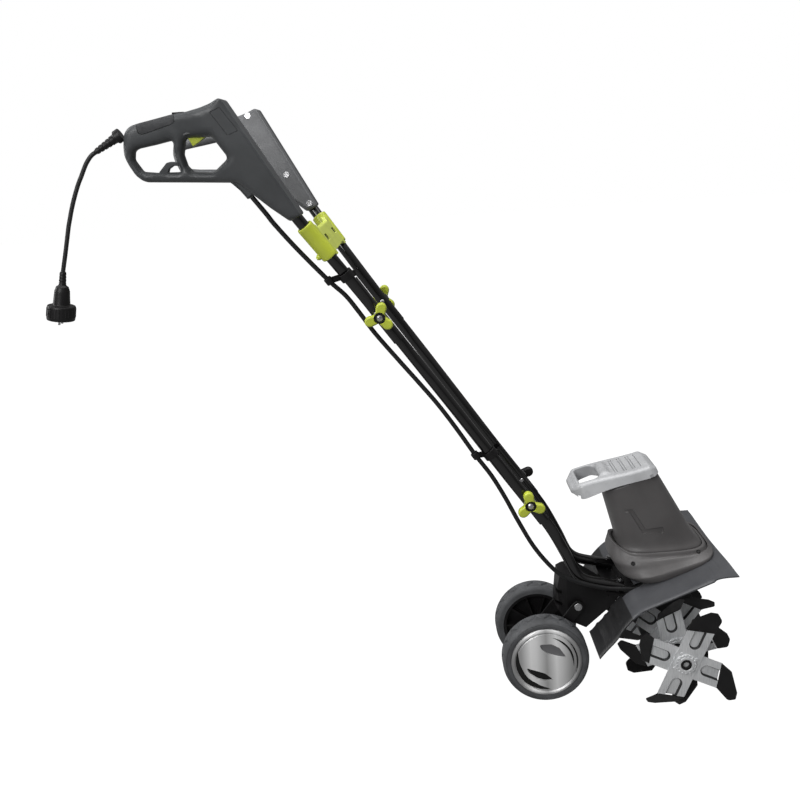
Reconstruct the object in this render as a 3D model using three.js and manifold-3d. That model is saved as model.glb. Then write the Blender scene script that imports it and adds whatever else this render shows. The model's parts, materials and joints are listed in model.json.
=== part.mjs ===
// Corded electric garden tiller: power head with six tine stars, two wheels on a
// height-adjusting carriage, and a three-section folding handle with two loop grips.
// Millimetres. +X forward (towards the tines), +Y to the machine's left, +Z up, floor at z = 0.
import * as THREE from 'three';
import { mergeVertices } from 'three/addons/utils/BufferGeometryUtils.js';
import Module from 'manifold-3d';

const wasm = await Module();
wasm.setup();

// ---------------------------------------------------------------- driving dimensions
const GAP = 0.3;                      // between pieces that touch
const TINE_AXLE_X = 433.1;             // puts the middle of the machine's length at x = 0
const TINE_RADIUS = 115;
const STAR_PLANES = [48, 108, 168];   // distance of each star from the middle plane
const STAR_TURNS = [51, 102, 65];     // rest angle of each star, innermost first, degrees
const STAR_BENDS = [[-1, -1, -1, -1], [-1, 1, -1, 1], [1, -1, 1, -1]];   // 1 bends a tip inwards
const SHAFT_RADIUS = 10;
const SHAFT_BORE = 10.6;
const WHEEL_RADIUS = 89;
const WHEEL_AXLE = [-261, WHEEL_RADIUS];
const CARRIAGE_PIVOT = [-185, 182];
const HEAD_TILT = THREE.MathUtils.degToRad(20);
const WORM_OFFSET = 53;               // motor axis ahead of the tine axle
const WORM_TEETH = 32;
const TUBE_RADIUS = 11;
const TUBE_WALL = 1.5;
const LOWER_FOLD = [-278.5, 426];     // x, z of the fold bolts, from the tine axle
const UPPER_FOLD = [-550.5, 830];
const FLAT_HALF = 5.5;                // half thickness of a tube where it is flattened at a fold
const FLAT_REACH = 92;                // how far from the fold bolt the tubes stay flat
const STUD_RADIUS = 4;
const CABLE_RADIUS = 4.5;
const CORD_RADIUS = 4;
const GUARD_HALF = 163;
const HANDLE_TOP_Z = 1250;
const HANDLE_TOP_Y = 186;             // middle plane of a grip housing at its top
const HANDLE_SPLAY = 0.2;             // how far a housing leans outwards for each mm of height
const BODY_HALF = 31;                 // half thickness of a grip housing
const LOOP_HALF = 17;                 // half thickness of its grip loop
const SHELL_WALL = 3.5;

// ---------------------------------------------------------------- materials
function finish(color, roughness, metalness = 0) {
  return new THREE.MeshStandardMaterial({ color, roughness, metalness });
}
const housingGrey = finish(0x565554, 0.55);
const handleGrey = finish(0x46484a, 0.5);
const guardGrey = finish(0x3f4142, 0.5);
const silver = finish(0xd8d8d8, 0.35, 0.3);
const tubeBlack = finish(0x101010, 0.25, 0.2);
const blackPlastic = finish(0x141414, 0.55);
const lime = finish(0xbdd046, 0.45);
const steel = finish(0xb9bcc0, 0.35, 0.9);
const blackSteel = finish(0x1a1a1a, 0.45, 0.5);
const tyreGrey = finish(0x4a4b4c, 0.8);
const copper = finish(0xa8643a, 0.4, 0.8);
const castGrey = finish(0x3a3a3a, 0.7, 0.4);
const brass = finish(0xb08d4c, 0.4, 0.8);

// ---------------------------------------------------------------- solids
function outward(geometry) {
  const position = geometry.attributes.position;
  const index = geometry.index;
  const corner = [new THREE.Vector3(), new THREE.Vector3(), new THREE.Vector3()];
  let volume = 0;
  for (let i = 0; i < index.count; i += 3) {
    corner.forEach((point, k) => point.fromBufferAttribute(position, index.getX(i + k)));
    volume += corner[0].dot(corner[1].cross(corner[2]));
  }
  if (volume < 0) {
    for (let i = 0; i < index.count; i += 3) {
      const kept = index.getX(i + 1);
      index.setX(i + 1, index.getX(i + 2));
      index.setX(i + 2, kept);
    }
  }
  return geometry;
}

function closed(geometry) {
  const bare = geometry.clone();
  bare.deleteAttribute('normal');
  bare.deleteAttribute('uv');
  return outward(mergeVertices(bare, 1e-4));
}

function solid(geometry) {
  const bare = closed(geometry);
  return new wasm.Manifold(new wasm.Mesh({
    numProp: 3,
    vertProperties: new Float32Array(bare.attributes.position.array),
    triVerts: new Uint32Array(bare.index.array),
  }));
}

function shape(body) {
  const mesh = body.getMesh();
  const geometry = new THREE.BufferGeometry();
  geometry.setAttribute('position', new THREE.BufferAttribute(mesh.vertProperties, 3));
  geometry.setIndex(new THREE.BufferAttribute(mesh.triVerts, 1));
  return geometry;
}

function joined(...geometries) {
  return shape(geometries.map(solid).reduce((sum, body) => sum.add(body)));
}

function cut(geometry, ...tools) {
  return shape(tools.map(solid).reduce((rest, tool) => rest.subtract(tool), solid(geometry)));
}

function common(...geometries) {
  return shape(geometries.map(solid).reduce((rest, body) => rest.intersect(body)));
}

function mirrored(geometry) {
  const copy = closed(geometry).clone();
  copy.scale(1, -1, 1);
  return outward(copy);
}

// ---------------------------------------------------------------- basic forms
function outline(points, holes = []) {
  const face = new THREE.Shape(points.map(([x, y]) => new THREE.Vector2(x, y)));
  face.holes = holes.map((hole) => new THREE.Path(hole.map(([x, y]) => new THREE.Vector2(x, y))));
  return face;
}

function extruded(face, depth, curveSegments = 8) {
  return new THREE.ExtrudeGeometry(face, { depth, bevelEnabled: false, curveSegments });
}

// an x-z outline with thickness along y
function sideSlab(points, yLow, yHigh, holes = []) {
  const slab = extruded(outline(points, holes), yHigh - yLow);
  return slab.rotateX(Math.PI / 2).translate(0, yHigh, 0);
}

// an x-y outline with thickness along z
function planSlab(points, zLow, zHigh, holes = []) {
  return extruded(outline(points, holes), zHigh - zLow).translate(0, 0, zLow);
}

// a y-z outline with thickness along x
function frontSlab(points, xLow, xHigh) {
  const slab = extruded(outline(points), xHigh - xLow);
  const turn = new THREE.Matrix4().makeBasis(
    new THREE.Vector3(0, 1, 0), new THREE.Vector3(0, 0, 1), new THREE.Vector3(1, 0, 0));
  return slab.applyMatrix4(turn).translate(xLow, 0, 0);
}

function box(low, high) {
  const size = high.map((value, axis) => value - low[axis]);
  const middle = high.map((value, axis) => (value + low[axis]) / 2);
  return new THREE.BoxGeometry(...size).translate(...middle);
}

// a closed profile of [radius, distance along the axis] pairs, turned about the y axis
function turned(profile, segments = 24) {
  const points = profile.map(([radius, along]) => new THREE.Vector2(radius, along));
  if (profile[0][0] > 0) points.push(points[0].clone());
  return new THREE.LatheGeometry(points, segments);
}

// the same, turned about the line from one point to another
function turnedAlong(profile, from, to, segments = 16) {
  const start = new THREE.Vector3(...from);
  const direction = new THREE.Vector3(...to).sub(start).normalize();
  const turn = new THREE.Quaternion().setFromUnitVectors(new THREE.Vector3(0, 1, 0), direction);
  return turned(profile, segments).applyQuaternion(turn).translate(...from);
}

function rod(from, to, radius, segments = 16) {
  const length = new THREE.Vector3(...from).distanceTo(new THREE.Vector3(...to));
  return turnedAlong([[0, 0], [radius, 0], [radius, length], [0, length]], from, to, segments);
}

function pin(x, z, radius, yLow, yHigh, segments = 16) {
  return rod([x, yLow, z], [x, yHigh, z], radius, segments);
}

function roundedRectangle(xLow, xHigh, yHalf, radius, steps = 3) {
  const points = [];
  const corners = [[xHigh - radius, yHalf - radius, 0], [xLow + radius, yHalf - radius, 90],
    [xLow + radius, radius - yHalf, 180], [xHigh - radius, radius - yHalf, 270]];
  for (const [x, y, start] of corners) {
    for (let i = 0; i <= steps; i += 1) {
      const angle = THREE.MathUtils.degToRad(start + (90 * i) / steps);
      points.push([x + radius * Math.cos(angle), y + radius * Math.sin(angle)]);
    }
  }
  return points;
}

// a pipe along a smooth curve through the points; inner 0 makes it solid
function pipe(points, radius, inner, steps, sides) {
  const path = new THREE.CatmullRomCurve3(points.map((point) => new THREE.Vector3(...point)));
  const face = new THREE.Shape().absarc(0, 0, radius, 0, 2 * Math.PI);
  if (inner > 0) face.holes.push(new THREE.Path().absarc(0, 0, inner, 0, 2 * Math.PI, true));
  return new THREE.ExtrudeGeometry(face, { steps, curveSegments: sides, extrudePath: path });
}

// ---------------------------------------------------------------- scene graph
const machine = new THREE.Group();
machine.position.x = TINE_AXLE_X;
const head = new THREE.Group();       // tilted power head, its origin on the tine axle
head.position.z = TINE_RADIUS;
head.rotation.y = -HEAD_TILT;
machine.add(head);

function add(parent, name, geometry, material) {
  const mesh = new THREE.Mesh(closed(geometry), material);
  mesh.name = name;
  parent.add(mesh);
}

const SIDES = [['right', -1], ['left', 1]];

function addPair(parent, name, rightGeometry, material) {
  add(parent, `${name}_right`, rightGeometry, material);
  add(parent, `${name}_left`, mirrored(rightGeometry), material);
}

// ---------------------------------------------------------------- tines
const ARM_HALF = 26;
const TIP_BEND = 0.62;                // sideways travel of a tip for each mm beyond its fold
const STAR_HALF_PLATE = 1.75;

function bentTip(direction) {
  const tip = sideSlab([[64, 26], [86, 21], [109, -12], [112, -26], [103, -37], [77, -26]],
    -STAR_HALF_PLATE, STAR_HALF_PLATE);
  const position = tip.attributes.position;
  const [foldX, foldZ] = [66, 26];
  const foldSlope = (78 - 66) / (-26 - 26);
  for (let i = 0; i < position.count; i += 1) {
    const beyond = position.getX(i) - (foldX + (position.getZ(i) - foldZ) * foldSlope);
    const bend = direction * TIP_BEND * Math.max(0, beyond - 1);
    position.setY(i, position.getY(i) + bend);
  }
  return tip;
}

function star(bends) {
  const arm = sideSlab([[0, ARM_HALF], [66, ARM_HALF], [78, -ARM_HALF], [0, -ARM_HALF]],
    -STAR_HALF_PLATE, STAR_HALF_PLATE);
  const arms = bends.map((bend, quarter) => {
    const turn = (quarter * Math.PI) / 2;
    return joined(arm, bentTip(bend)).rotateY(-turn);
  });
  const boss = turned([[0, -6], [21, -6], [21, 6], [0, 6]], 14);
  return cut(joined(boss, ...arms), pin(0, 0, SHAFT_BORE, -8, 8, 12));
}

function addTines() {
  STAR_PLANES.forEach((plane, i) => {
    const turn = THREE.MathUtils.degToRad(STAR_TURNS[i]);
    const geometry = star(STAR_BENDS[i]).rotateY(-turn);
    geometry.translate(0, -plane, TINE_RADIUS);
    addPair(machine, `tine_star_${i + 1}`, geometry, steel);
  });
  const socket = (yLow, yHigh) => pin(0, TINE_RADIUS, 6.5, yLow, yHigh, 8);
  const shaft = cut(pin(0, TINE_RADIUS, SHAFT_RADIUS, -175, 175, 12), socket(-176, -150), socket(150, 176));
  add(machine, 'tine_shaft', shaft, blackSteel);
  add(machine, 'worm_wheel', wormWheel(), brass);
}

function wormWheel() {
  const tipRadius = 43.4;
  const rootRadius = 38;
  const points = [];
  for (let tooth = 0; tooth < WORM_TEETH; tooth += 1) {
    for (const [share, radius] of [[0, rootRadius], [0.5, tipRadius]]) {
      const angle = (2 * Math.PI * (tooth + share)) / WORM_TEETH;
      points.push([radius * Math.cos(angle), radius * Math.sin(angle)]);
    }
  }
  const wheel = cut(sideSlab(points, -7, 7), pin(0, 0, SHAFT_BORE, -8, 8, 12));
  return wheel.translate(0, 0, TINE_RADIUS);
}

// ---------------------------------------------------------------- power head, in its tilted frame
const PLATE_LOW = 118;                // steel frame plate over the tines
const PLATE_HIGH = 123;
const GUARD_TOP = 136;
const GUARD_WALL = 4;
const SEAM_REAR = [-30, 205];         // where the motor housing meets the base, x and z
const SEAM_FRONT = [135, 157];
const CAP_LOW = 338;
const CAP_GAP = 0.5;                 // between the cap's skirt and the motor housing

function addGearCase() {
  const round = pin(0, 0, 54, -24, 24, 24);
  const neck = sideSlab([[-30, 20], [-30, 117.7], [76, 117.7], [76, -24], [20, -40]], -24, 24);
  const wheelRoom = pin(0, 0, 46, -19, 19, 20);
  const wormRoom = rod([WORM_OFFSET, 0, -20], [WORM_OFFSET, 0, 120], 11.5, 14);
  const pocket = box([-24, -19, 56], [37, 19, 120]);
  const shaftBore = pin(0, 0, SHAFT_BORE, -26, 26, 12);
  add(head, 'gear_case', cut(joined(round, neck), wheelRoom, wormRoom, pocket, shaftBore), castGrey);
}

// the rear tab of the plate lies under the ends of the lower tubes, square to their bolts
const TAB_TOP = [[-53.3, 123], [-84, 142.1]];
const BOLT_SEAT = [-62, 128.4];
const BOLT_UP = [0.53, 0.848];

function boltPoint(height, y) {
  return [BOLT_SEAT[0] + BOLT_UP[0] * height, y, BOLT_SEAT[1] + BOLT_UP[1] * height];
}

function addFramePlate() {
  const plan = [[-53.5, -66], [-30, -66], [-20, -42], [112, -42], [112, 42], [-20, 42], [-30, 66],
    [-53.5, 66]];
  const plate = planSlab(plan, PLATE_LOW, PLATE_HIGH);
  const tab = sideSlab([[-50, 118.5], [-50, 122.5], ...TAB_TOP, [-86.7, 137.8], [-54.8, 118]], -66, 66);
  const ribs = SIDES.map(([, side]) => sideSlab([[-30, 122], [-30, 129.8], [100, 131.4], [100, 122]],
    Math.min(side * 32, side * 36), Math.max(side * 32, side * 36)));
  const motorHole = rod([WORM_OFFSET, 0, 110], [WORM_OFFSET, 0, 140], 14, 14);
  const boltHoles = SIDES.map(([, side]) => side * 52)
    .map((y) => rod(boltPoint(-20, y), boltPoint(20, y), 4.5, 8));
  add(head, 'frame_plate', cut(joined(plate, tab, ...ribs), motorHole, ...boltHoles), blackSteel);
}

const GUARD_OUTER = [[166, 132], [146, GUARD_TOP], [122, GUARD_TOP], [-40, 134.3], [-62, 126], [-84, 114],
  [-106, 98], [-128, 88], [-150, 76]];

function addGuard() {
  const inner = GUARD_OUTER.map(([x, z]) => [x + (x < -50 ? 2 : 0), z - GUARD_WALL]).reverse();
  const skin = sideSlab([...GUARD_OUTER, ...inner], -GUARD_HALF, GUARD_HALF);
  const rimOuter = GUARD_OUTER.slice(2).map(([x, z]) => [x, z - 1]);
  const rimInner = GUARD_OUTER.slice(2).map(([x, z]) => [x + (x < -50 ? 5 : 0), z - 12]).reverse();
  const rim = sideSlab([...rimOuter, ...rimInner], -GUARD_HALF, 4 - GUARD_HALF);
  const rearRoom = box([-170, -68, 60], [-28, 68, 150]);
  const gearRoom = box([-29, -30, 120], [104, 30, 150]);
  const cableNotch = box([-60, -79, 100], [10, -60, 150]);
  const frontCurve = [[180, -GUARD_HALF - 5], [166, -GUARD_HALF], [159, -80], [156, 0], [159, 80],
    [166, GUARD_HALF], [180, GUARD_HALF + 5]];
  const front = planSlab(frontCurve, 100, 150);
  const sheet = joined(skin, rim, mirrored(rim));
  add(head, 'guard', cut(sheet, rearRoom, gearRoom, cableNotch, front), guardGrey);
}

// everything below the sloping seam between base and motor housing
function belowSeam(offset) {
  return sideSlab([[-200, 0], [300, 0], [300, SEAM_FRONT[1] - 48 + offset],
    [SEAM_FRONT[0], SEAM_FRONT[1] + offset], [SEAM_REAR[0], SEAM_REAR[1] + offset],
    [-200, SEAM_REAR[1] + 49 + offset]], -200, 200);
}

function baseForm(inset) {
  const plan = planSlab([[-46 + inset, -40 + inset], [-10 + inset / 2, -99 + inset], [124, -99 + inset],
    [149 - inset, -76 + inset], [149 - inset, 76 - inset], [124, 99 - inset], [-10 + inset / 2, 99 - inset],
    [-46 + inset, 40 - inset]], GUARD_TOP + GAP - inset, 240 - inset);
  const side = sideSlab([[-50 + inset, 100], [-38 + inset, 225 - inset], [-10, 225 - inset],
    [137 - inset, 158 - inset], [149 - inset, 142 - inset], [152 - inset, 100]], -110, 110);
  const across = frontSlab([[-99 + inset, 100], [-99 + inset, 140 - inset], [-90 + inset, 162 - inset],
    [-68 + inset, 202 - inset], [-60 + inset, 230], [60 - inset, 230], [68 - inset, 202 - inset],
    [90 - inset, 162 - inset], [99 - inset, 140 - inset], [99 - inset, 100]], -100, 200);
  return common(plan, side, across, belowSeam(-inset * 0.6));
}

const MOTOR_TOP = [[-8, 106, 56], 337.7];
const MOTOR_FOOT = [[-27, 131, 64], 160];

function motorForm(inset) {
  const [[topLow, topHigh, topHalf], topZ] = MOTOR_TOP;
  const [[footLow, footHigh, footHalf], footZ] = MOTOR_FOOT;
  const body = planSlab(roundedRectangle(-1, 1, 1, 0.55), 0, 1);
  const position = body.attributes.position;
  for (let i = 0; i < position.count; i += 1) {
    const share = position.getZ(i);
    const low = THREE.MathUtils.lerp(footLow, topLow, share) + inset;
    const high = THREE.MathUtils.lerp(footHigh, topHigh, share) - inset;
    const half = THREE.MathUtils.lerp(footHalf, topHalf, share) - inset;
    position.setX(i, (low + high) / 2 + (position.getX(i) * (high - low)) / 2);
    position.setY(i, position.getY(i) * half);
    position.setZ(i, THREE.MathUtils.lerp(footZ, topZ - inset, share));
  }
  return body;
}

function addHousings() {
  const opening = motorForm(SHELL_WALL + 2);
  add(head, 'base_housing', cut(baseForm(0), baseForm(SHELL_WALL), opening), housingGrey);
  const shell = cut(motorForm(0), belowSeam(GAP), motorForm(SHELL_WALL));
  add(head, 'motor_housing', shell, housingGrey);
}

function addTopCap() {
  const plan = planSlab(roundedRectangle(-66, 108, 58.5, 22), CAP_LOW - 12, CAP_LOW + 48,
    [roundedRectangle(-45, -8, 39, 12).reverse()]);
  const side = sideSlab([[-70, 352], [-60, 341], [-13, 340], [106, 329], [111, 338], [100, 350],
    [60, 361], [0, 368], [-46, 371], [-64, 365]], -70, 70);
  const across = frontSlab([[-60, 320], [60, 320], [58, 345], [50, 360], [43, 372], [-43, 372],
    [-50, 360], [-58, 345]], -80, 115);
  const hollow = planSlab(roundedRectangle(-2, 96, 42, 16), CAP_LOW - 1, CAP_LOW + 12);
  add(head, 'top_cap', cut(common(plan, side, across), hollow, motorForm(-CAP_GAP)), silver);
}

function addMotor() {
  const along = (profile, z) => turnedAlong(profile, [WORM_OFFSET, 0, z], [WORM_OFFSET, 0, z + 1], 14);
  add(head, 'stator', along([[30, 0], [45, 0], [45, 56], [30, 56]], 217), blackSteel);
  const armature = along([[0, -20], [6, -20], [6, 218], [27, 218], [27, 272], [14, 272], [14, 300], [6, 300],
    [6, 320], [0, 320]], 0);
  add(head, 'armature', armature, copper);
  add(head, 'worm', along([[6.4, 0], [9, 0], [9, 36], [6.4, 36]], -18), steel);
  const blades = [];
  for (let blade = 0; blade < 9; blade += 1) {
    const middle = (2 * Math.PI * blade) / 9;
    for (const [shift, radius] of [[-0.22, 18], [-0.12, 46], [0.12, 46], [0.22, 18]]) {
      blades.push([WORM_OFFSET + radius * Math.cos(middle + shift), radius * Math.sin(middle + shift)]);
    }
  }
  const bore = rod([WORM_OFFSET, 0, 140], [WORM_OFFSET, 0, 170], 6.4, 14);
  add(head, 'cooling_fan', cut(planSlab(blades, 145, 157), bore), blackPlastic);
}

// ---------------------------------------------------------------- wheels and their carriage
function addWheelBracket() {
  const plan = [[-228, -12], [-222, -24], [-205, -36], [-92, -38], [-92, 38], [-205, 36], [-222, 24],
    [-228, 12]];
  const room = [[-224, -9], [-218, -21], [-204, -32], [-80, -34], [-80, 34], [-204, 32], [-218, 21],
    [-224, 9]];
  const form = sideSlab([[-218, 242], [-180, 246], [-122, 204], [-120.4, 196.5], [-97, 205], [-95, 199],
    [-112, 176], [-168, 128], [-212, 150], [-230, 175]], -60, 60);
  const inside = sideSlab([[-215, 238.5], [-181, 242.5], [-124, 200], [-122, 192.5], [-90, 203], [-90, 165],
    [-168, 118], [-195, 130], [-209, 152], [-226.5, 176]], -60, 60);
  const hole = pin(...CARRIAGE_PIVOT, 5.4, -60, 60, 10);
  const notches = [206, 180].map((z) => box([-240, -40, z - 4], [-214, -8, z + 4]));
  const shell = cut(common(planSlab(plan, 100, 260), form), common(planSlab(room, 100, 260), inside));
  add(machine, 'wheel_bracket', cut(shell, hole, ...notches), blackSteel);
  const bolt = joined(pin(...CARRIAGE_PIVOT, 5, -51, 51, 10), pin(...CARRIAGE_PIVOT, 8.5, -51.5, -49.3, 10),
    pin(...CARRIAGE_PIVOT, 8.5, 49.3, 51.5, 10));
  add(machine, 'carriage_bolt', bolt, steel);
}

function linkBar([x0, z0], [x1, z1], half, yLow, yHigh) {
  const angle = Math.atan2(z1 - z0, x1 - x0);
  const points = [];
  for (let i = 0; i <= 5; i += 1) {
    const around = angle + Math.PI / 2 + (Math.PI * i) / 5;
    points.push([x0 + half * Math.cos(around), z0 + half * Math.sin(around)]);
  }
  for (let i = 0; i <= 5; i += 1) {
    const around = angle - Math.PI / 2 + (Math.PI * i) / 5;
    points.push([x1 + half * Math.cos(around), z1 + half * Math.sin(around)]);
  }
  return sideSlab(points, yLow, yHigh);
}

function addCarriage() {
  const arm = cut(linkBar(CARRIAGE_PIVOT, WHEEL_AXLE, 12, -49, -44),
    pin(...CARRIAGE_PIVOT, 5.4, -50, -43, 10), pin(...WHEEL_AXLE, 6.5, -50, -43, 12));
  addPair(machine, 'carriage_arm', arm, blackSteel);
  add(machine, 'wheel_axle', pin(...WHEEL_AXLE, 6, -87, 87, 12), steel);
}

function addWheels() {
  const place = (geometry) => geometry.translate(WHEEL_AXLE[0], 0, WHEEL_AXLE[1]);
  const tyre = turned([[72.6, -94], [86, -96], [89, -88], [89, -60], [86, -52], [72.6, -54]], 24);
  const rim = turned([[6.5, -88], [14, -88], [14, -76], [66, -76], [66, -92], [72.3, -92], [72.3, -56],
    [66, -56], [66, -72], [14, -72], [14, -54], [6.5, -54]], 24);
  const cap = turned([[0, -97.5], [55, -97], [72.3, -94.5], [72.3, -92.3], [64, -92.3], [62, -89.5],
    [0, -89.5]], 24);
  addPair(machine, 'tyre', place(tyre), tyreGrey);
  addPair(machine, 'rim', place(rim), blackPlastic);
  addPair(machine, 'hubcap', place(cap), silver);
}

// ---------------------------------------------------------------- handle tubes
// routes of the right-hand tubes as x, distance from the middle plane, z
const LOWER_TUBE = [[-92, 52, 224], [-122, 52, 230.2], [-156, 52.5, 238.5], [-173, 53, 245.5],
  [-186, 53.5, 257], [-195, 54, 274], [-208, 54.8, 305], [-238, 58, 365],
  [LOWER_FOLD[0], 62, LOWER_FOLD[1]], [-329, 62, 500]];
const MIDDLE_TUBE = [[-251, 74, 385], [LOWER_FOLD[0], 74, LOWER_FOLD[1]], [-329, 74, 500], [-414, 79, 628],
  [-500, 87.5, 756], [UPPER_FOLD[0], 87.5, UPPER_FOLD[1]], [-599, 87.5, 902]];
const UPPER_TUBE = [[-517, 100, 781], [UPPER_FOLD[0], 100, UPPER_FOLD[1]], [-572, 100.2, 862],
  [-634, 120.5, 954], [-687, 142, 1031], [-713, 151.5, 1080]];

function routeY(route, z) {
  const sorted = [...route].sort((a, b) => a[2] - b[2]);
  for (let i = 1; i < sorted.length; i += 1) {
    if (z <= sorted[i][2] || i === sorted.length - 1) {
      const share = (z - sorted[i - 1][2]) / (sorted[i][2] - sorted[i - 1][2]);
      return THREE.MathUtils.lerp(sorted[i - 1][1], sorted[i][1], THREE.MathUtils.clamp(share, 0, 1));
    }
  }
  return 0;
}

function onRight(route) {
  return route.map(([x, y, z]) => [x, -y, z]);
}

// a bent steel tube, pressed flat where it is bolted to its neighbour at a fold
function handleTube(route, steps, folds) {
  const tube = pipe(onRight(route), TUBE_RADIUS, TUBE_RADIUS - TUBE_WALL, steps, 4);
  const position = tube.attributes.position;
  for (let i = 0; i < position.count; i += 1) {
    const [x, y, z] = [position.getX(i), position.getY(i), position.getZ(i)];
    const away = Math.min(...folds.map(([foldX, foldZ]) => Math.hypot(x - foldX, z - foldZ)));
    const share = THREE.MathUtils.smoothstep(away, FLAT_REACH, FLAT_REACH + 40);
    const centre = -routeY(route, z);
    position.setY(i, centre + (y - centre) * THREE.MathUtils.lerp(FLAT_HALF / TUBE_RADIUS, 1, share));
  }
  return cut(tube, ...folds.map((fold) => pin(...fold, STUD_RADIUS + GAP, -130, -30, 10)));
}

// the same route as a solid that cuts room for the tube through another piece
function tubeRoom(route, steps) {
  return pipe(onRight(route), TUBE_RADIUS + 0.6, 0, steps, 4);
}

function fromHead([x, y, z]) {
  return new THREE.Vector3(x, y, z).applyMatrix4(head.matrix).toArray();
}

function addTubes() {
  head.updateMatrix();
  const bolt = (radius, low, high) => rod(fromHead(boltPoint(low, -52)), fromHead(boltPoint(high, -52)),
    radius, 8);
  const lower = cut(handleTube(LOWER_TUBE, 18, [LOWER_FOLD]), bolt(4.5, -2, 40));
  addPair(machine, 'tube_lower', lower, tubeBlack);
  addPair(machine, 'tube_bolt', joined(bolt(4, -10, 23.5), bolt(6.5, 23, 28)), steel);
  addPair(machine, 'tube_middle', handleTube(MIDDLE_TUBE, 16, [LOWER_FOLD, UPPER_FOLD]), tubeBlack);
  addPair(machine, 'tube_upper', handleTube(UPPER_TUBE, 12, [UPPER_FOLD]), tubeBlack);
}

// a three-lobed hand nut and its bolt; turn is where one lobe points
function knob(fold, seat, depth, turn) {
  const points = [];
  const steps = 24;
  for (let i = 0; i < steps; i += 1) {
    const angle = (2 * Math.PI * i) / steps;
    const radius = 21 + 10 * Math.cos(3 * (angle - turn));
    points.push([fold[0] + radius * Math.cos(angle), fold[1] + radius * Math.sin(angle)]);
  }
  const grip = sideSlab(points, -seat - 16, -seat);
  return joined(grip, pin(...fold, STUD_RADIUS, -seat - 2, -depth, 10));
}

function addKnobs() {
  const lowerSeat = 74 + FLAT_HALF + GAP;
  const upperSeat = 100 + FLAT_HALF + GAP;
  add(machine, 'knob_lower_right', knob(LOWER_FOLD, lowerSeat, 52, 1.75), lime);
  add(machine, 'knob_lower_left', mirrored(knob(LOWER_FOLD, lowerSeat, 52, 0.3)), blackPlastic);
  addPair(machine, 'knob_upper', knob(UPPER_FOLD, upperSeat, 76, 1.35), lime);
}

function addCrossBracket() {
  const sleeve = rod([-634, -121, 954], [-676, -137.5, 1015], 16, 14);
  const room = tubeRoom(UPPER_TUBE, 12);
  const plate = frontSlab([[-122, 956], [122, 956], [139, 1014], [-139, 1014]], -5, 5);
  const position = plate.attributes.position;
  for (let i = 0; i < position.count; i += 1) {
    position.setX(i, position.getX(i) - 634 - (position.getZ(i) - 954) * 0.689 + 11);
  }
  const bracket = cut(joined(sleeve, mirrored(sleeve), plate), room, mirrored(room));
  add(machine, 'cross_bracket', bracket, lime);
}

// ---------------------------------------------------------------- motor cable, held along the tubes
// x, distance from the middle plane, z
const CABLE_ROUTE = [[-763, 158, 1075], [-741, 154, 1043], [-727, 150, 1021], [-691, 138, 972],
  [-640, 120, 908], [-612, 107, 876], [-588, 99.5, 839], [-562, 95, 797], [-520, 92, 740], [-486, 90, 695],
  [-450, 88, 646], [-417, 87, 595], [-382, 86, 537], [-353, 85, 493], [-328, 83, 445], [-304, 79, 392],
  [-277, 76, 338], [-250, 74, 298], [-224, 73, 270], [-189, 72, 250], [-135, 72, 233], [-94, 72, 228.5],
  [-68, 72, 228.5], [-52, 72, 236], [-47, 72, 247]];

function cableRun(first, last, steps, radius = CABLE_RADIUS) {
  const whole = new THREE.CatmullRomCurve3(onRight(CABLE_ROUTE).map((point) => new THREE.Vector3(...point)));
  const points = [];
  for (let i = 0; i <= steps; i += 1) {
    const place = THREE.MathUtils.lerp(first, last, i / steps);
    points.push(whole.getPoint(place / (CABLE_ROUTE.length - 1)).toArray());
  }
  return pipe(points, radius, 0, steps, 4);
}

function addCable() {
  const hair = 0.02;
  add(machine, 'cable_handle', cableRun(0.05, 5 - hair, 12), blackPlastic);
  add(machine, 'cable_fold_upper', cableRun(5 + hair, 9 - hair, 8), blackPlastic);
  add(machine, 'cable_middle', cableRun(9 + hair, 13 - hair, 8), blackPlastic);
  add(machine, 'cable_fold_lower', cableRun(13 + hair, 17 - hair, 8), blackPlastic);
  add(machine, 'cable_base', cableRun(17 + hair, 24, 14), blackPlastic);
}

// a strap clip: one ring round a tube, one round the cable, and the web between them
function clip(tubePoint, cablePoint, direction, rooms) {
  const along = new THREE.Vector3(...direction).normalize();
  const at = (point, distance) => new THREE.Vector3(...point).addScaledVector(along, distance).toArray();
  const sleeve = (point, radius, half) => rod(at(point, -half), at(point, half), radius, 12);
  const start = new THREE.Vector3(...tubePoint);
  const across = new THREE.Vector3(...cablePoint).sub(start);
  const xAxis = across.clone().normalize();
  const yAxis = new THREE.Vector3().crossVectors(along, xAxis).normalize();
  const zAxis = new THREE.Vector3().crossVectors(xAxis, yAxis);
  const web = new THREE.BoxGeometry(across.length(), 6, 12).translate(across.length() / 2, 0, 0);
  web.applyMatrix4(new THREE.Matrix4().makeBasis(xAxis, yAxis, zAxis).setPosition(start));
  const body = joined(sleeve(tubePoint, TUBE_RADIUS + 4, 9), sleeve(cablePoint, CABLE_RADIUS + 3.5, 7), web);
  return cut(body, ...rooms);
}

function addClips() {
  const upperRooms = [tubeRoom(UPPER_TUBE, 12), cableRun(2, 6, 12, CABLE_RADIUS + 0.6)];
  add(machine, 'cable_clip_upper', clip([-607.5, -111.2, 915], [-640, -120, 908], [-0.55, -0.18, 0.82],
    upperRooms), blackPlastic);
  const lowerRooms = [tubeRoom(MIDDLE_TUBE, 16), cableRun(9, 14, 12, CABLE_RADIUS + 0.6)];
  add(machine, 'cable_clip_lower', clip([-352.5, -75.5, 535.5], [-382, -86, 537], [-0.555, -0.02, 0.83],
    lowerRooms), blackPlastic);
}

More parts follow.
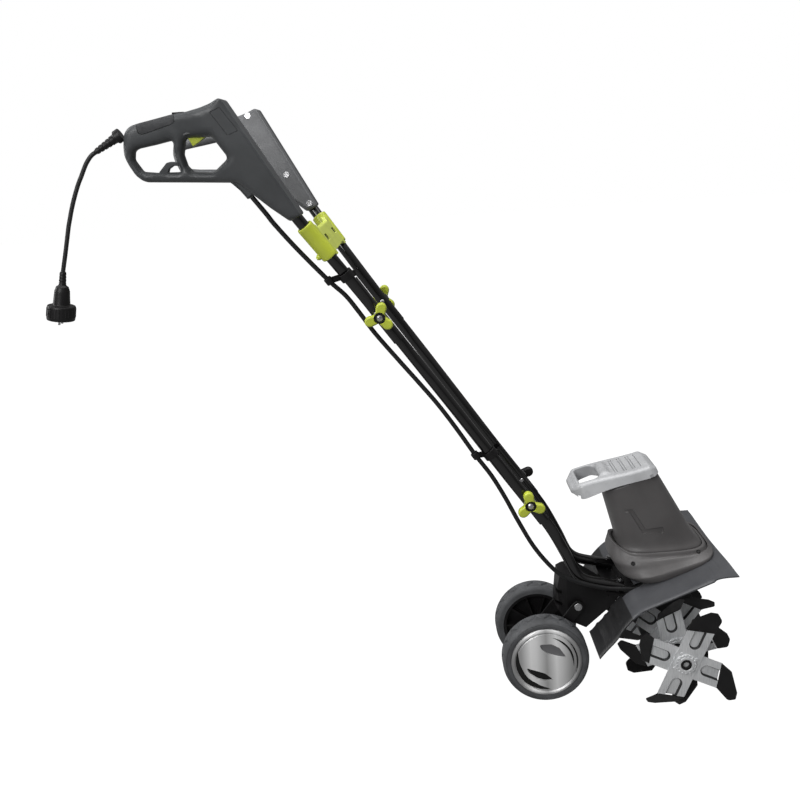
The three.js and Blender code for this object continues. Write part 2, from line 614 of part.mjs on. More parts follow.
// ---------------------------------------------------------------- grip housings
// outlines in x and z; the housings are drawn upright and then splayed outwards
const BODY_OUTLINE = [[-793, 1250], [-676, 1037], [-698, 1025], [-732, 1053], [-759, 1078], [-775, 1097],
  [-792, 1110], [-788, 1146], [-810, 1190], [-828, 1204], [-835, 1233]];
const LOOP_OUTLINE = [[-798, 1240], [-827, 1236.5], [-862, 1230], [-883, 1229.5], [-923, 1222], [-945, 1218],
  [-962, 1214], [-974, 1203], [-979, 1182], [-981, 1162], [-975, 1145], [-966, 1127], [-952, 1114],
  [-868, 1108], [-785, 1102], [-770, 1130]];
const REAR_OPENING = [[-961, 1170], [-952, 1174], [-919, 1179], [-889, 1184.5], [-892, 1167], [-888.5, 1145],
  [-881, 1128], [-926, 1129.5], [-952, 1133], [-964, 1155]];
const FRONT_OPENING = [[-868, 1186], [-820, 1186], [-796, 1147], [-827, 1123], [-862, 1127], [-871, 1138],
  [-875, 1158]];
const PLAIN_OPENING = [[-961, 1170], [-952, 1174], [-919, 1179], [-868, 1187], [-820, 1186], [-796, 1147],
  [-827, 1123], [-926, 1129.5], [-952, 1133], [-964, 1155]];
const HOOK = [[-927, 1127], [-908, 1146], [-900, 1147.5], [-886, 1144.5], [-886, 1139], [-895, 1140],
  [-905, 1135], [-908, 1127]];

function splayed(geometry, side) {
  const copy = closed(geometry);
  const position = copy.attributes.position;
  for (let i = 0; i < position.count; i += 1) {
    const centre = HANDLE_TOP_Y - HANDLE_SPLAY * (HANDLE_TOP_Z - position.getZ(i));
    position.setY(i, side * (centre + position.getY(i)));
  }
  return outward(copy);
}

// moves every side of an outline inwards by the same distance (outwards if it is negative)
function inset(points, distance) {
  const turn = Math.sign(THREE.ShapeUtils.area(points.map(([x, y]) => new THREE.Vector2(x, y))));
  const sides = points.map((start, i) => {
    const end = points[(i + 1) % points.length];
    const length = Math.hypot(end[0] - start[0], end[1] - start[1]);
    const along = [(end[0] - start[0]) / length, (end[1] - start[1]) / length];
    const shift = distance * turn;
    return { along, through: [start[0] - along[1] * shift, start[1] + along[0] * shift] };
  });
  return sides.map((side, i) => {
    const before = sides[(i + sides.length - 1) % sides.length];
    const cross = before.along[0] * side.along[1] - before.along[1] * side.along[0];
    const gapX = side.through[0] - before.through[0];
    const gapY = side.through[1] - before.through[1];
    const reach = (gapX * side.along[1] - gapY * side.along[0]) / cross;
    return [before.through[0] + before.along[0] * reach, before.through[1] + before.along[1] * reach];
  });
}

// one half of a grip housing; its open face lies on the middle plane
function gripShell(isOuter, withTrigger) {
  const openings = withTrigger ? [REAR_OPENING, FRONT_OPENING] : [PLAIN_OPENING];
  const slab = (points, half, holes = []) => (isOuter
    ? sideSlab(points, GAP / 2, half, holes) : sideSlab(points, -half, -GAP / 2, holes));
  const room = (points, half, holes = []) => (isOuter
    ? sideSlab(points, -1, half, holes) : sideSlab(points, -half, 1, holes));
  const pieces = [slab(BODY_OUTLINE, BODY_HALF), slab(LOOP_OUTLINE, LOOP_HALF, openings)];
  if (withTrigger) pieces.push(slab(HOOK, 6));
  const tools = [room(inset(BODY_OUTLINE, SHELL_WALL), BODY_HALF - SHELL_WALL),
    room(inset(LOOP_OUTLINE, SHELL_WALL), LOOP_HALF - SHELL_WALL,
      openings.map((points) => inset(points, -SHELL_WALL)))];
  if (withTrigger) {
    tools.push(box([-870, -7.5, 1165], [-818, 7.5, 1200]));
    tools.push(box([-886, -8, 1212], [-862, 8, 1245]));
    tools.push(box([-800, -6, 1066], [-762, 6, 1106]));
  }
  return cut(joined(...pieces), ...tools);
}

function addGrips() {
  const room = tubeRoom([...UPPER_TUBE.slice(3), [-722, 155, 1097]], 8);
  for (const [name, side] of SIDES) {
    for (const part of ['outer', 'inner']) {
      const half = splayed(gripShell(part === 'outer', side < 0), side);
      add(machine, `grip_${name}_${part}`, cut(half, side < 0 ? room : mirrored(room)), handleGrey);
    }
  }
}

function addControls() {
  const trigger = sideSlab([[-866.5, 1194], [-866.5, 1201], [-828, 1203], [-823, 1198], [-825, 1190],
    [-856, 1171]], -6.5, 6.5);
  add(machine, 'trigger', splayed(trigger, -1), lime);
  const button = box([-884.5, -6.5, 1222], [-863.5, 6.5, 1232]);
  add(machine, 'lock_off_button', splayed(button, -1), blackPlastic);
  add(machine, 'switch', splayed(box([-862, -9, 1206], [-830, 9, 1218]), -1), blackPlastic);
}

// ---------------------------------------------------------------- supply cord
const CORD_PLANE = -175;
const CORD_EXIT = [-1032, 1172];
const CORD_ROUTE = [CORD_EXIT, [-1037.5, 1168.6], [-1044, 1162], [-1050.5, 1153], [-1056, 1143],
  [-1061, 1133], [-1067.5, 1121], [-1073, 1109], [-1078, 1097], [-1083, 1084], [-1087.5, 1071],
  [-1091.5, 1058], [-1095.5, 1045], [-1099, 1031], [-1103, 1015], [-1107, 999], [-1111.5, 982],
  [-1116, 965]];
const PLUG_FROM = [-1116.1, 964.5];
const PLUG_TO = [-1131.6, 876];

function addCord() {
  const point = ([x, z]) => [x, CORD_PLANE, z];
  const glandFrom = point([-978, 1203]);
  const relief = point([-1031.8, 1172.2]);
  const flange = 15;
  const reach = new THREE.Vector3(...glandFrom).distanceTo(new THREE.Vector3(...relief)) - GAP;
  const profile = [[0, 0], [12.5, 0], [12.5, flange], [8, flange + 2], [5.2, reach], [0, reach]];
  const behindGrip = sideSlab([[-981.5, 1150], [-981.5, 1182], [-974.3, 1203.2], [-962, 1214.5],
    [-900, 1214.5], [-900, 1150]], -220, -120);
  add(machine, 'cord_gland', cut(turnedAlong(profile, glandFrom, relief, 14), behindGrip), blackPlastic);
  add(machine, 'cord', pipe(CORD_ROUTE.map(point), CORD_RADIUS, 0, 16, 4), blackPlastic);
  const plugProfile = [[0, 0.3], [5.5, 0.3], [6.5, 26], [12, 27], [15, 62], [25.5, 64], [25.5, 90], [5, 90],
    [4, 98], [0, 98]];
  add(machine, 'plug', turnedAlong(plugProfile, point(PLUG_FROM), point(PLUG_TO), 16), blackPlastic);
}

// ---------------------------------------------------------------- whole machine
addGearCase();
addFramePlate();
addGuard();
addHousings();
addTopCap();
addMotor();
addTines();
addWheelBracket();
addCarriage();
addWheels();
addTubes();
addKnobs();
addCrossBracket();
addCable();
addClips();
addGrips();
addControls();
addCord();

const root = new THREE.Group();
root.add(machine);
export default root;
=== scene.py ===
"""Looks of the electric tiller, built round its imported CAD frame.

Lengths are millimetres unless a name says otherwise: x runs forward from the tine axle, y to the
left and z up. Pieces of the power head are drawn in the head's own frame, which leans back by
HEAD_TILT round the tine axle.
"""

import json
import math

import bmesh
import bpy
import numpy
from mathutils import Matrix, Vector
from mathutils.geometry import delaunay_2d_cdt, tessellate_polygon


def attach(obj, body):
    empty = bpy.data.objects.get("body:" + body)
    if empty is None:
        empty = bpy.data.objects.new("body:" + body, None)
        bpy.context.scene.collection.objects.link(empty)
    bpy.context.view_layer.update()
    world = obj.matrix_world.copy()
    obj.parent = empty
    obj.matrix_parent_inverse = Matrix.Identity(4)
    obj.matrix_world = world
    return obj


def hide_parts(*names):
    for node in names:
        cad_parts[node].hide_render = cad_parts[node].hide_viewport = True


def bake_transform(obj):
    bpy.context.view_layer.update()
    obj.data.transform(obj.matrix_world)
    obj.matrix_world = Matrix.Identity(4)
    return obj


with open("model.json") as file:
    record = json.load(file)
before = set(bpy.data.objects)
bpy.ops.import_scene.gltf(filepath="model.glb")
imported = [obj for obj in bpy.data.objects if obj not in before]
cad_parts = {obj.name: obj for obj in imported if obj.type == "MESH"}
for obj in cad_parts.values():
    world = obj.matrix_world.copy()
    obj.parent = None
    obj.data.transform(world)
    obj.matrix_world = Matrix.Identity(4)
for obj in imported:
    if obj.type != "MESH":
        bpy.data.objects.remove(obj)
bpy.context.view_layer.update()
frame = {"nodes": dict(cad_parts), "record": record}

MM = 0.001
TINE_AXLE_X = 433.1
TINE_AXLE_Z = 115
HEAD_TILT = math.radians(20)
MACHINE = Matrix.Diagonal((MM, MM, MM, 1)) @ Matrix.Translation((TINE_AXLE_X, 0, 0))
HEAD = MACHINE @ Matrix.Translation((0, 0, TINE_AXLE_Z)) @ Matrix.Rotation(-HEAD_TILT, 4, "Y")
SIDES = (("right", -1), ("left", 1))

LOWER_FOLD = (-278.5, 426)            # x, z of the bolts that the handle folds on
UPPER_FOLD = (-550.5, 830)
TUBE_RADIUS = 11
FLAT_HALF = 5.5                       # half thickness of a tube where it is pressed flat at a fold
FLAT_REACH = 92                       # how far the flat part runs from its bolt
CABLE_RADIUS = 4.5
CORD_RADIUS = 4


# ---------------------------------------------------------------- camera
CAMERA_AT = (-0.0433, -1.7928, 1.1342)    # metres
CAMERA_AZIMUTH = math.radians(1.15134)
CAMERA_ELEVATION = math.radians(9.46825)
CAMERA_ROLL = math.radians(-3.93268)
CAMERA_LENS = 40.5
CAMERA_SHIFT = -0.12


def add_camera():
    """A level view from the right, turned by its azimuth, elevation and roll."""
    a, e, r = CAMERA_AZIMUTH, CAMERA_ELEVATION, CAMERA_ROLL
    right = Vector((math.cos(a), math.sin(a), 0))
    up = Vector((-math.sin(a) * math.sin(e), math.cos(a) * math.sin(e), math.cos(e)))
    back = Vector((math.sin(a) * math.cos(e), -math.cos(a) * math.cos(e), math.sin(e)))
    turned_right = math.cos(r) * right + math.sin(r) * up
    turned_up = -math.sin(r) * right + math.cos(r) * up
    data = bpy.data.cameras.new("camera")
    data.lens = CAMERA_LENS
    data.sensor_width = 36
    data.shift_y = CAMERA_SHIFT
    data.clip_end = 60
    camera = bpy.data.objects.new("camera", data)
    turn = Matrix((turned_right, turned_up, back)).transposed()
    camera.matrix_world = Matrix.Translation(CAMERA_AT) @ turn.to_4x4()
    bpy.context.scene.collection.objects.link(camera)
    bpy.context.scene.camera = camera


add_camera()


# ---------------------------------------------------------------- materials
class Nodes:
    """The node tree of one material, with its coordinates in metres."""

    def __init__(self, name):
        self.material = bpy.data.materials.new(name)
        self.material.use_nodes = True
        self.tree = self.material.node_tree
        self.shader = self.tree.nodes["Principled BSDF"]
        self.coordinates = self.tree.nodes.new("ShaderNodeTexCoord").outputs["Object"]

    def link(self, output, socket):
        self.tree.links.new(output, socket)

    def stretched(self, scale):
        mapping = self.tree.nodes.new("ShaderNodeMapping")
        mapping.inputs["Scale"].default_value = scale
        self.link(self.coordinates, mapping.inputs["Vector"])
        return mapping.outputs["Vector"]

    def noise(self, scale, detail=3, vector=None, roughness=0.55):
        node = self.tree.nodes.new("ShaderNodeTexNoise")
        node.inputs["Scale"].default_value = scale
        node.inputs["Detail"].default_value = detail
        node.inputs["Roughness"].default_value = roughness
        self.link(vector or self.coordinates, node.inputs["Vector"])
        return node.outputs["Fac"]

    def ramp(self, value, stops):
        node = self.tree.nodes.new("ShaderNodeValToRGB")
        ramp = node.color_ramp
        ramp.elements[0].position, ramp.elements[0].color = stops[0][0], (*stops[0][1], 1)
        ramp.elements[1].position, ramp.elements[1].color = stops[-1][0], (*stops[-1][1], 1)
        for place, colour in stops[1:-1]:
            ramp.elements.new(place).color = (*colour, 1)
        self.link(value, node.inputs["Fac"])
        return node.outputs["Color"]

    def spread(self, value, low, high, start=0.3, end=0.7):
        node = self.tree.nodes.new("ShaderNodeMapRange")
        node.inputs["From Min"].default_value = start
        node.inputs["From Max"].default_value = end
        node.inputs["To Min"].default_value = low
        node.inputs["To Max"].default_value = high
        self.link(value, node.inputs["Value"])
        return node.outputs["Result"]

    def bump(self, height, distance, strength=1.0):
        node = self.tree.nodes.new("ShaderNodeBump")
        node.inputs["Distance"].default_value = distance
        node.inputs["Strength"].default_value = strength
        self.link(height, node.inputs["Height"])
        self.link(node.outputs["Normal"], self.shader.inputs["Normal"])


def linear(value):
    """An sRGB level from 0 to 255 as linear light."""
    share = value / 255
    return share / 12.92 if share <= 0.04045 else ((share + 0.055) / 1.055) ** 2.4


def shade(colour, factor=1.0):
    return tuple(min(1.0, linear(level) * factor) for level in colour)


def moulded(name, colour, roughness, grain=900, depth=0.00006, coat=0.0, specular=0.5):
    """Injection-moulded plastic: fine spark-eroded texture, faint flow marks and handling shine."""
    nodes = Nodes(name)
    flow = nodes.noise(14, 4)
    nodes.link(nodes.ramp(flow, [(0.3, shade(colour, 0.86)), (0.7, shade(colour, 1.12))]),
               nodes.shader.inputs["Base Color"])
    shine = nodes.noise(60, 5)
    nodes.link(nodes.spread(shine, roughness - 0.06, roughness + 0.07), nodes.shader.inputs["Roughness"])
    nodes.shader.inputs["Specular IOR Level"].default_value = specular
    nodes.shader.inputs["Coat Weight"].default_value = coat
    nodes.shader.inputs["Coat Roughness"].default_value = 0.15
    nodes.bump(nodes.noise(grain, 2), depth)
    return nodes.material


def painted(name, colour, roughness, coat=0.0, orange_peel=0.00005, specular=0.5):
    """Powder-coated steel: a slightly wavy film with a few duller patches."""
    nodes = Nodes(name)
    patches = nodes.noise(22, 5)
    nodes.link(nodes.ramp(patches, [(0.35, shade(colour, 0.8)), (0.7, shade(colour, 1.25))]),
               nodes.shader.inputs["Base Color"])
    nodes.link(nodes.spread(nodes.noise(90, 4), roughness * 0.8, roughness * 1.3),
               nodes.shader.inputs["Roughness"])
    nodes.shader.inputs["Specular IOR Level"].default_value = specular
    nodes.shader.inputs["Coat Weight"].default_value = coat
    nodes.shader.inputs["Coat Roughness"].default_value = 0.06
    nodes.bump(nodes.noise(260, 2), orange_peel)
    return nodes.material


def brushed(name, dark, bright, roughness, scale=(40, 40, 1400), scratch=0.00002, metallic=1.0):
    """Bare metal with fine parallel scratches and cloudy polish."""
    nodes = Nodes(name)
    streaks = nodes.noise(1.0, 3, nodes.stretched(scale))
    clouds = nodes.noise(18, 3)
    mix = nodes.tree.nodes.new("ShaderNodeMix")
    mix.data_type = "RGBA"
    mix.inputs["Factor"].default_value = 0.45
    nodes.link(nodes.ramp(streaks, [(0.3, shade(dark)), (0.7, shade(bright))]), mix.inputs["A"])
    nodes.link(nodes.ramp(clouds, [(0.3, shade(dark)), (0.7, shade(bright))]), mix.inputs["B"])
    nodes.link(mix.outputs["Result"], nodes.shader.inputs["Base Color"])
    nodes.link(nodes.spread(streaks, roughness * 0.75, roughness * 1.3), nodes.shader.inputs["Roughness"])
    nodes.shader.inputs["Metallic"].default_value = metallic
    nodes.bump(streaks, scratch)
    return nodes.material


def rubber(name, colour, roughness, grain=500, depth=0.0001, dust=1.35):
    """Soft rubber: matt, a little dusty, with an uneven skin."""
    nodes = Nodes(name)
    nodes.link(nodes.ramp(nodes.noise(30, 6), [(0.35, shade(colour, 0.8)), (0.75, shade(colour, dust))]),
               nodes.shader.inputs["Base Color"])
    nodes.link(nodes.spread(nodes.noise(140, 4), roughness - 0.08, roughness + 0.1),
               nodes.shader.inputs["Roughness"])
    nodes.shader.inputs["Specular IOR Level"].default_value = 0.35
    nodes.bump(nodes.noise(grain, 3), depth)
    return nodes.material


LOOKS = {
    "housing": moulded("housing", (88, 86, 86), 0.42),
    "guard": moulded("guard", (76, 77, 80), 0.36),
    "handle_shell": moulded("handle_shell", (66, 68, 70), 0.45),
    "silver_plastic": moulded("silver_plastic", (184, 185, 187), 0.3, grain=1400, depth=0.00003, coat=0.3),
    "black_tube": painted("black_tube", (14, 13, 14), 0.16, coat=0.6, specular=0.4),
    "black_steel": painted("black_steel", (19, 18, 19), 0.4, specular=0.28),
    "laminations": brushed("laminations", (70, 68, 66), (110, 108, 104), 0.5, (10, 10, 1500)),
    # painted shade: the cast_alloy look is near black to stand for the shade on the gear case under the
    # guard
    "cast_alloy": painted("cast_alloy", (44, 44, 45), 0.5, orange_peel=0.0002),
    "brass": brushed("brass", (150, 110, 50), (210, 170, 90), 0.3),
    "bright_steel": brushed("bright_steel", (150, 150, 152), (215, 215, 216), 0.24),
    "tine_steel": brushed("tine_steel", (196, 198, 200), (246, 247, 248), 0.4, (700, 60, 60), metallic=0.3),
    "tyre": rubber("tyre", (84, 85, 87), 0.6),
    "black_plastic": moulded("black_plastic", (20, 19, 20), 0.42, specular=0.28),
    "rubber_cable": rubber("rubber_cable", (24, 24, 25), 0.45, grain=900, depth=0.00004),
    "lime": moulded("lime", (196, 208, 62), 0.38, coat=0.15),
}
GRIP_RUBBER = rubber("grip_rubber", (52, 53, 55), 0.62, grain=1100, depth=0.00012)
GUARD_DARK = moulded("guard_dark", (34, 34, 35), 0.4)
PALE_LIME = moulded("pale_lime", (212, 224, 96), 0.35, coat=0.1)
DARK_RECESS = rubber("dark_recess", (12, 12, 12), 0.7)
INNER_FACE = moulded("inner_face", (98, 99, 101), 0.42)
# painted shade: a darker steel for the sloping walls of the pressed channels on the tine stars
CHANNEL_WALL_PAINTED_SHADE = brushed("channel_wall_painted_shade", (44, 44, 45), (70, 70, 71), 0.5, metallic=0.4)


WHEEL_CENTRE_X = 0.172                # metres
HUBCAP_RADIUS = 0.072


def reflection_banded_silver():
    """Satin paint on the hubcaps, with soft upright bands of painted reflection."""
    nodes = Nodes("hubcap_painted_reflection")
    across = nodes.tree.nodes.new("ShaderNodeSeparateXYZ")
    nodes.link(nodes.coordinates, across.inputs[0])
    share = nodes.spread(across.outputs["X"], 0, 1, WHEEL_CENTRE_X - HUBCAP_RADIUS,
                         WHEEL_CENTRE_X + HUBCAP_RADIUS)
    # painted reflection: light and dark upright bands across the hubcap, set by position across it
    levels = ((0.0, 140), (0.14, 172), (0.28, 250), (0.36, 240), (0.5, 176), (0.64, 250), (0.72, 226),
              (0.86, 160), (1.0, 140))
    nodes.link(nodes.ramp(share, [(at, shade((level,) * 3)) for at, level in levels]),
               nodes.shader.inputs["Base Color"])
    nodes.shader.inputs["Metallic"].default_value = 0.1
    nodes.shader.inputs["Roughness"].default_value = 0.34
    return nodes.material


HUBCAP_PAINTED_REFLECTION = reflection_banded_silver()
HUBCAP_GREY = moulded("hubcap_grey", (112, 112, 114), 0.4)


# ---------------------------------------------------------------- mesh helpers
def make(name, points, faces, place=MACHINE):
    data = bpy.data.meshes.new(name)
    data.from_pydata([place @ Vector(point) for point in points], [], faces)
    data.validate()
    obj = bpy.data.objects.new(name, data)
    bpy.context.scene.collection.objects.link(obj)
    recalculate(obj)
    return obj


def recalculate(obj):
    """Turns every face outwards."""
    shape = bmesh.new()
    shape.from_mesh(obj.data)
    bmesh.ops.recalc_face_normals(shape, faces=shape.faces)
    shape.to_mesh(obj.data)
    shape.free()


def applied(obj):
    """Turns the object's modifiers into mesh."""
    bpy.context.view_layer.update()
    result = obj.evaluated_get(bpy.context.evaluated_depsgraph_get())
    obj_mesh = bpy.data.meshes.new_from_object(result)
    obj.modifiers.clear()
    obj.data = obj_mesh
    return obj


def combine(obj, tools, operation):
    for tool in tools:
        step = obj.modifiers.new(operation, "BOOLEAN")
        step.operation = operation
        step.solver = "EXACT"
        step.object = tool
    applied(obj)
    for tool in tools:
        bpy.data.objects.remove(tool)
    return obj


def cut(obj, *tools):
    return combine(obj, tools, "DIFFERENCE")


def merged(name, objects):
    """Several meshes as one object, without a boolean."""
    shape = bmesh.new()
    for obj in objects:
        shape.from_mesh(obj.data)
        bpy.data.objects.remove(obj)
    data = bpy.data.meshes.new(name)
    shape.to_mesh(data)
    shape.free()
    result = bpy.data.objects.new(name, data)
    bpy.context.scene.collection.objects.link(result)
    return result


def softened(obj, width, segments=3, angle=28):
    """Rounds every edge sharper than the angle."""
    shape = bmesh.new()
    shape.from_mesh(obj.data)
    bmesh.ops.remove_doubles(shape, verts=shape.verts, dist=0.00002)
    bmesh.ops.dissolve_limit(shape, angle_limit=math.radians(1.5), verts=shape.verts, edges=shape.edges)
    shape.to_mesh(obj.data)
    shape.free()
    step = obj.modifiers.new("edges", "BEVEL")
    step.width = width * MM
    step.segments = segments
    step.limit_method = "ANGLE"
    step.angle_limit = math.radians(angle)
    step.use_clamp_overlap = True
    return applied(obj)


def mirrored(obj, name):
    """A copy of the object on the other side of the middle plane."""
    copy = bpy.data.objects.new(name, obj.data.copy())
    copy.data.transform(Matrix.Diagonal((1, -1, 1, 1)))
    bpy.context.scene.collection.objects.link(copy)
    recalculate(copy)
    return copy


def smooth_shaded(obj, angle=34):
    obj.data.shade_smooth()
    obj.data.set_sharp_from_angle(angle=math.radians(angle))
    step = obj.modifiers.new("normals", "WEIGHTED_NORMAL")
    step.keep_sharp = True
    step.weight = 90
    return applied(obj)


def place_on(obj, body, slot, *nodes, material=None, angle=34):
    """Finishes a piece: its shading, its body, the CAD nodes it stands for, and its material."""
    smooth_shaded(obj, angle)
    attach(obj, body)
    if nodes:
        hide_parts(*nodes)
    obj.data.materials.clear()
    obj.data.materials.append(material or LOOKS[slot])
    return obj


BODY_OF = {node: body for body, nodes in frame["record"]["behaviour"]["bodies"].items() for node in nodes}


def refined(node, width, segments=2, angle=28, name=None, material=None):
    """The CAD node's own shape with its edges rounded."""
    source = frame["nodes"][node]
    obj = bpy.data.objects.new(name or f"{node}_finished", source.data.copy())
    bpy.context.scene.collection.objects.link(obj)
    slot = source.data.materials[0].name.split(".")[0]
    softened(obj, width, segments, angle)
    return place_on(obj, BODY_OF[node], slot, node, material=material)


def rounded(points, radius, steps=6):
    """An outline with each corner as an arc, as large as its sides allow.

    radius is one number, or one for each corner.
    """
    result = []
    count = len(points)
    radii = radius if hasattr(radius, "__len__") else [radius] * count
    for i, point in enumerate(points):
        corner = Vector(point)
        before = Vector(points[i - 1]) - corner
        after = Vector(points[(i + 1) % count]) - corner
        turn = math.pi - before.angle(after)
        if turn < 0.01:
            result.append(tuple(corner))
            continue
        reach = min(radii[i] * math.tan(turn / 2), before.length * 0.49, after.length * 0.49)
        start = corner + before.normalized() * reach
        end = corner + after.normalized() * reach
        pieces = max(1, min(steps, round(steps * turn / 0.8)))
        for k in range(pieces + 1):
            share = k / pieces
            # a quadratic curve is within a hair of the arc at these angles
            spot = start * (1 - share) ** 2 + corner * 2 * share * (1 - share) + end * share ** 2
            result.append(tuple(spot))
    return result


def area(points):
    return sum(a[0] * b[1] - b[0] * a[1] for a, b in zip(points, points[1:] + points[:1])) / 2


def offset(points, distance):
    """A dense outline moved to its left by the distance: inwards where it runs anticlockwise."""
    result = []
    count = len(points)
    for i in range(count):
        before = Vector(points[i]) - Vector(points[i - 1])
        after = Vector(points[(i + 1) % count]) - Vector(points[i])
        before.normalize()
        after.normalize()
        normal = Vector((-before.y - after.y, before.x + after.x))
        spread = max(0.5, normal.length_squared / 2)
        result.append(tuple(Vector(points[i]) + normal * (distance / spread)))
    return result


PLANES = {
    "side": lambda a, b, c: (a, c, b),
    "plan": lambda a, b, c: (a, b, c),
    "front": lambda a, b, c: (c, a, b),
}


def slab(name, outline, low, high, holes=(), edge=(1.0, 1.0), steps=4, plane="side", place=MACHINE):
    """A flat piece between two levels. edge is how far the rounding of its rims reaches in and down."""
    inset, depth = edge
    loops = [outline if area(outline) > 0 else outline[::-1]]
    loops += [hole[::-1] if area(hole) > 0 else hole for hole in holes]
    levels = []
    for i in range(steps + 1):
        angle = math.pi / 2 * (1 - i / steps)
        levels.append((low + depth * (1 - math.sin(angle)), inset * (1 - math.cos(angle))))
    levels += [(high - (level - low), moved) for level, moved in reversed(levels)]
    across = PLANES[plane]
    points, faces = [], []
    size = sum(len(loop) for loop in loops)
    for level, moved in levels:
        for loop in loops:
            points += [across(a, b, level) for a, b in (offset(loop, moved) if moved else loop)]
    for k in range(len(levels) - 1):
        first = k * size
        for loop in loops:
            count = len(loop)
            for i in range(count):
                j = (i + 1) % count
                faces.append((first + i, first + j, first + size + j, first + size + i))
            first += count
    flat = [[Vector((a, b, 0)) for a, b in offset(loop, inset)] for loop in loops]
    cover = tessellate_polygon(flat)
    last = (len(levels) - 1) * size
    faces += [tuple(corner) for corner in cover]
    faces += [tuple(last + i for i in corner) for corner in cover]
    return make(name, points, faces, place)


def eased(value, low, high):
    share = min(1, max(0, (value - low) / (high - low)))
    return share * share * (3 - 2 * share)


def dense(points, step=4.5):
    """The same outline with extra points along its longer sides."""
    result = []
    for start, end in zip(points, points[1:] + points[:1]):
        start, end = Vector(start), Vector(end)
        pieces = max(1, math.ceil((end - start).length / step))
        result += [tuple(start.lerp(end, k / pieces)) for k in range(pieces)]
    return result


def near_loop(points, loops):
    """For each point, its distance to the nearest of the outlines."""
    starts = numpy.array([point for loop in loops for point in loop])
    ends = numpy.array([point for loop in loops for point in loop[1:] + loop[:1]])
    spots = numpy.array(points)[:, None, :]
    along = ends - starts
    share = ((spots - starts) * along).sum(2) / (along ** 2).sum(1)
    nearest = starts + along * numpy.clip(share, 0, 1)[:, :, None]
    return numpy.sqrt(((spots - nearest) ** 2).sum(2)).min(1)


def inside(point, loop):
    x, y = point
    found = False
    for (x0, y0), (x1, y1) in zip(loop, loop[1:] + loop[:1]):
        if (y0 > y) != (y1 > y) and x < (x1 - x0) * (y - y0) / (y1 - y0) + x0:
            found = not found
    return found


def sheet(loops, rings=(), step=None, clear=0.0, lines=()):
    """A flat region inside the first outline and outside the others, as triangles.

    It has rings of points close to every rim, an even grid between them, and edges along any extra
    closed lines.
    Returns the points, the triangles and each point's distance to the nearest rim.
    """
    loops = [loops[0] if area(loops[0]) > 0 else loops[0][::-1], *[hole[::-1] if area(hole) > 0 else hole
                                                                  for hole in loops[1:]]]
    points, edges = [], []
    for loop in [*loops, *lines]:
        first, count = len(points), len(loop)
        points += loop
        edges += [(first + i, first + (i + 1) % count) for i in range(count)]
    for distance in rings:
        ring = [point for loop in loops for point in offset(loop, distance)]
        gaps = near_loop(ring, loops)
        points += [point for point, gap in zip(ring, gaps) if gap > distance * 0.93]
    if step:
        low = [min(point[axis] for point in loops[0]) for axis in (0, 1)]
        high = [max(point[axis] for point in loops[0]) for axis in (0, 1)]
        grid = []
        for row in range(math.ceil((high[1] - low[1]) / step)):
            for column in range(math.ceil((high[0] - low[0]) / step) + 1):
                spot = (low[0] + (column + (row % 2) / 2) * step, low[1] + (row + 0.5) * step)
                if inside(spot, loops[0]) and not any(inside(spot, hole) for hole in loops[1:]):
                    grid.append(spot)
        gaps = near_loop(grid, loops)
        points += [point for point, gap in zip(grid, gaps) if gap > clear]
    spots, _, faces, *_ = delaunay_2d_cdt([Vector(point) for point in points], edges, [], 0, 0.02)
    spots = [tuple(spot) for spot in spots]
    kept = []
    for face in faces:
        middle = tuple(sum(spots[i][axis] for i in face) / len(face) for axis in (0, 1))
        if inside(middle, loops[0]) and not any(inside(middle, hole) for hole in loops[1:]):
            kept.append(tuple(face))
    return spots, kept, near_loop(spots, loops)


def sheet_body(name, spots, faces, high, low, plane="side", place=MACHINE):
    """A closed body between two skins over one flat sheet: high and low hold a level for each point."""
    across = PLANES[plane]
    count = len(spots)
    points = [across(a, b, level) for levels in (high, low) for (a, b), level in zip(spots, levels)]
    sides = set()
    for face in faces:
        sides.update(zip(face, face[1:] + face[:1]))
    rim = [(a, b) for a, b in sides if (b, a) not in sides]
    walls = [(a, a + count, b + count, b) for a, b in sorted(rim)]
    back = [tuple(i + count for i in face[::-1]) for face in faces]
    return make(name, points, faces + back + walls, place)


def ring_faces(first, second, count):
    return [(first + i, first + (i + 1) % count, second + (i + 1) % count, second + i) for i in range(count)]


def loft(name, rings, place=MACHINE, closed=False):
    """A skin through rings of points, with flat ends, or joined end to start."""
    count = len(rings[0])
    points = [point for ring in rings for point in ring]
    faces = []
    for k in range(len(rings) - 1):
        faces += ring_faces(k * count, (k + 1) * count, count)
    last = (len(rings) - 1) * count
    if closed:
        faces += ring_faces(last, 0, count)
    else:
        faces += [tuple(range(count)), tuple(last + i for i in range(count))]
    return make(name, points, faces, place)


def turned(name, profile, start, end, segments=32, place=MACHINE):
    """A profile of (radius, distance) turned round the line from start to end."""
    start, end = Vector(start), Vector(end)
    axis = (end - start).normalized()
    side = axis.orthogonal().normalized()
    other = axis.cross(side)
    points, faces, rows = [], [], []
    for radius, along in profile:
        rows.append(len(points))
        centre = start + axis * along
        if radius == 0:
            points.append(centre)
            continue
        for i in range(segments):
            angle = 2 * math.pi * i / segments
            points.append(centre + side * (radius * math.cos(angle)) + other * (radius * math.sin(angle)))
    for k in range(len(profile) - 1):
        low, high = rows[k], rows[k + 1]
        if profile[k][0] == 0 and profile[k + 1][0] == 0:
            continue
        for i in range(segments):
            j = (i + 1) % segments
            if profile[k][0] == 0:
                faces.append((low, high + j, high + i))
            elif profile[k + 1][0] == 0:
                faces.append((low + i, low + j, high))
            else:
                faces.append((low + i, low + j, high + j, high + i))
    return make(name, points, faces, place)


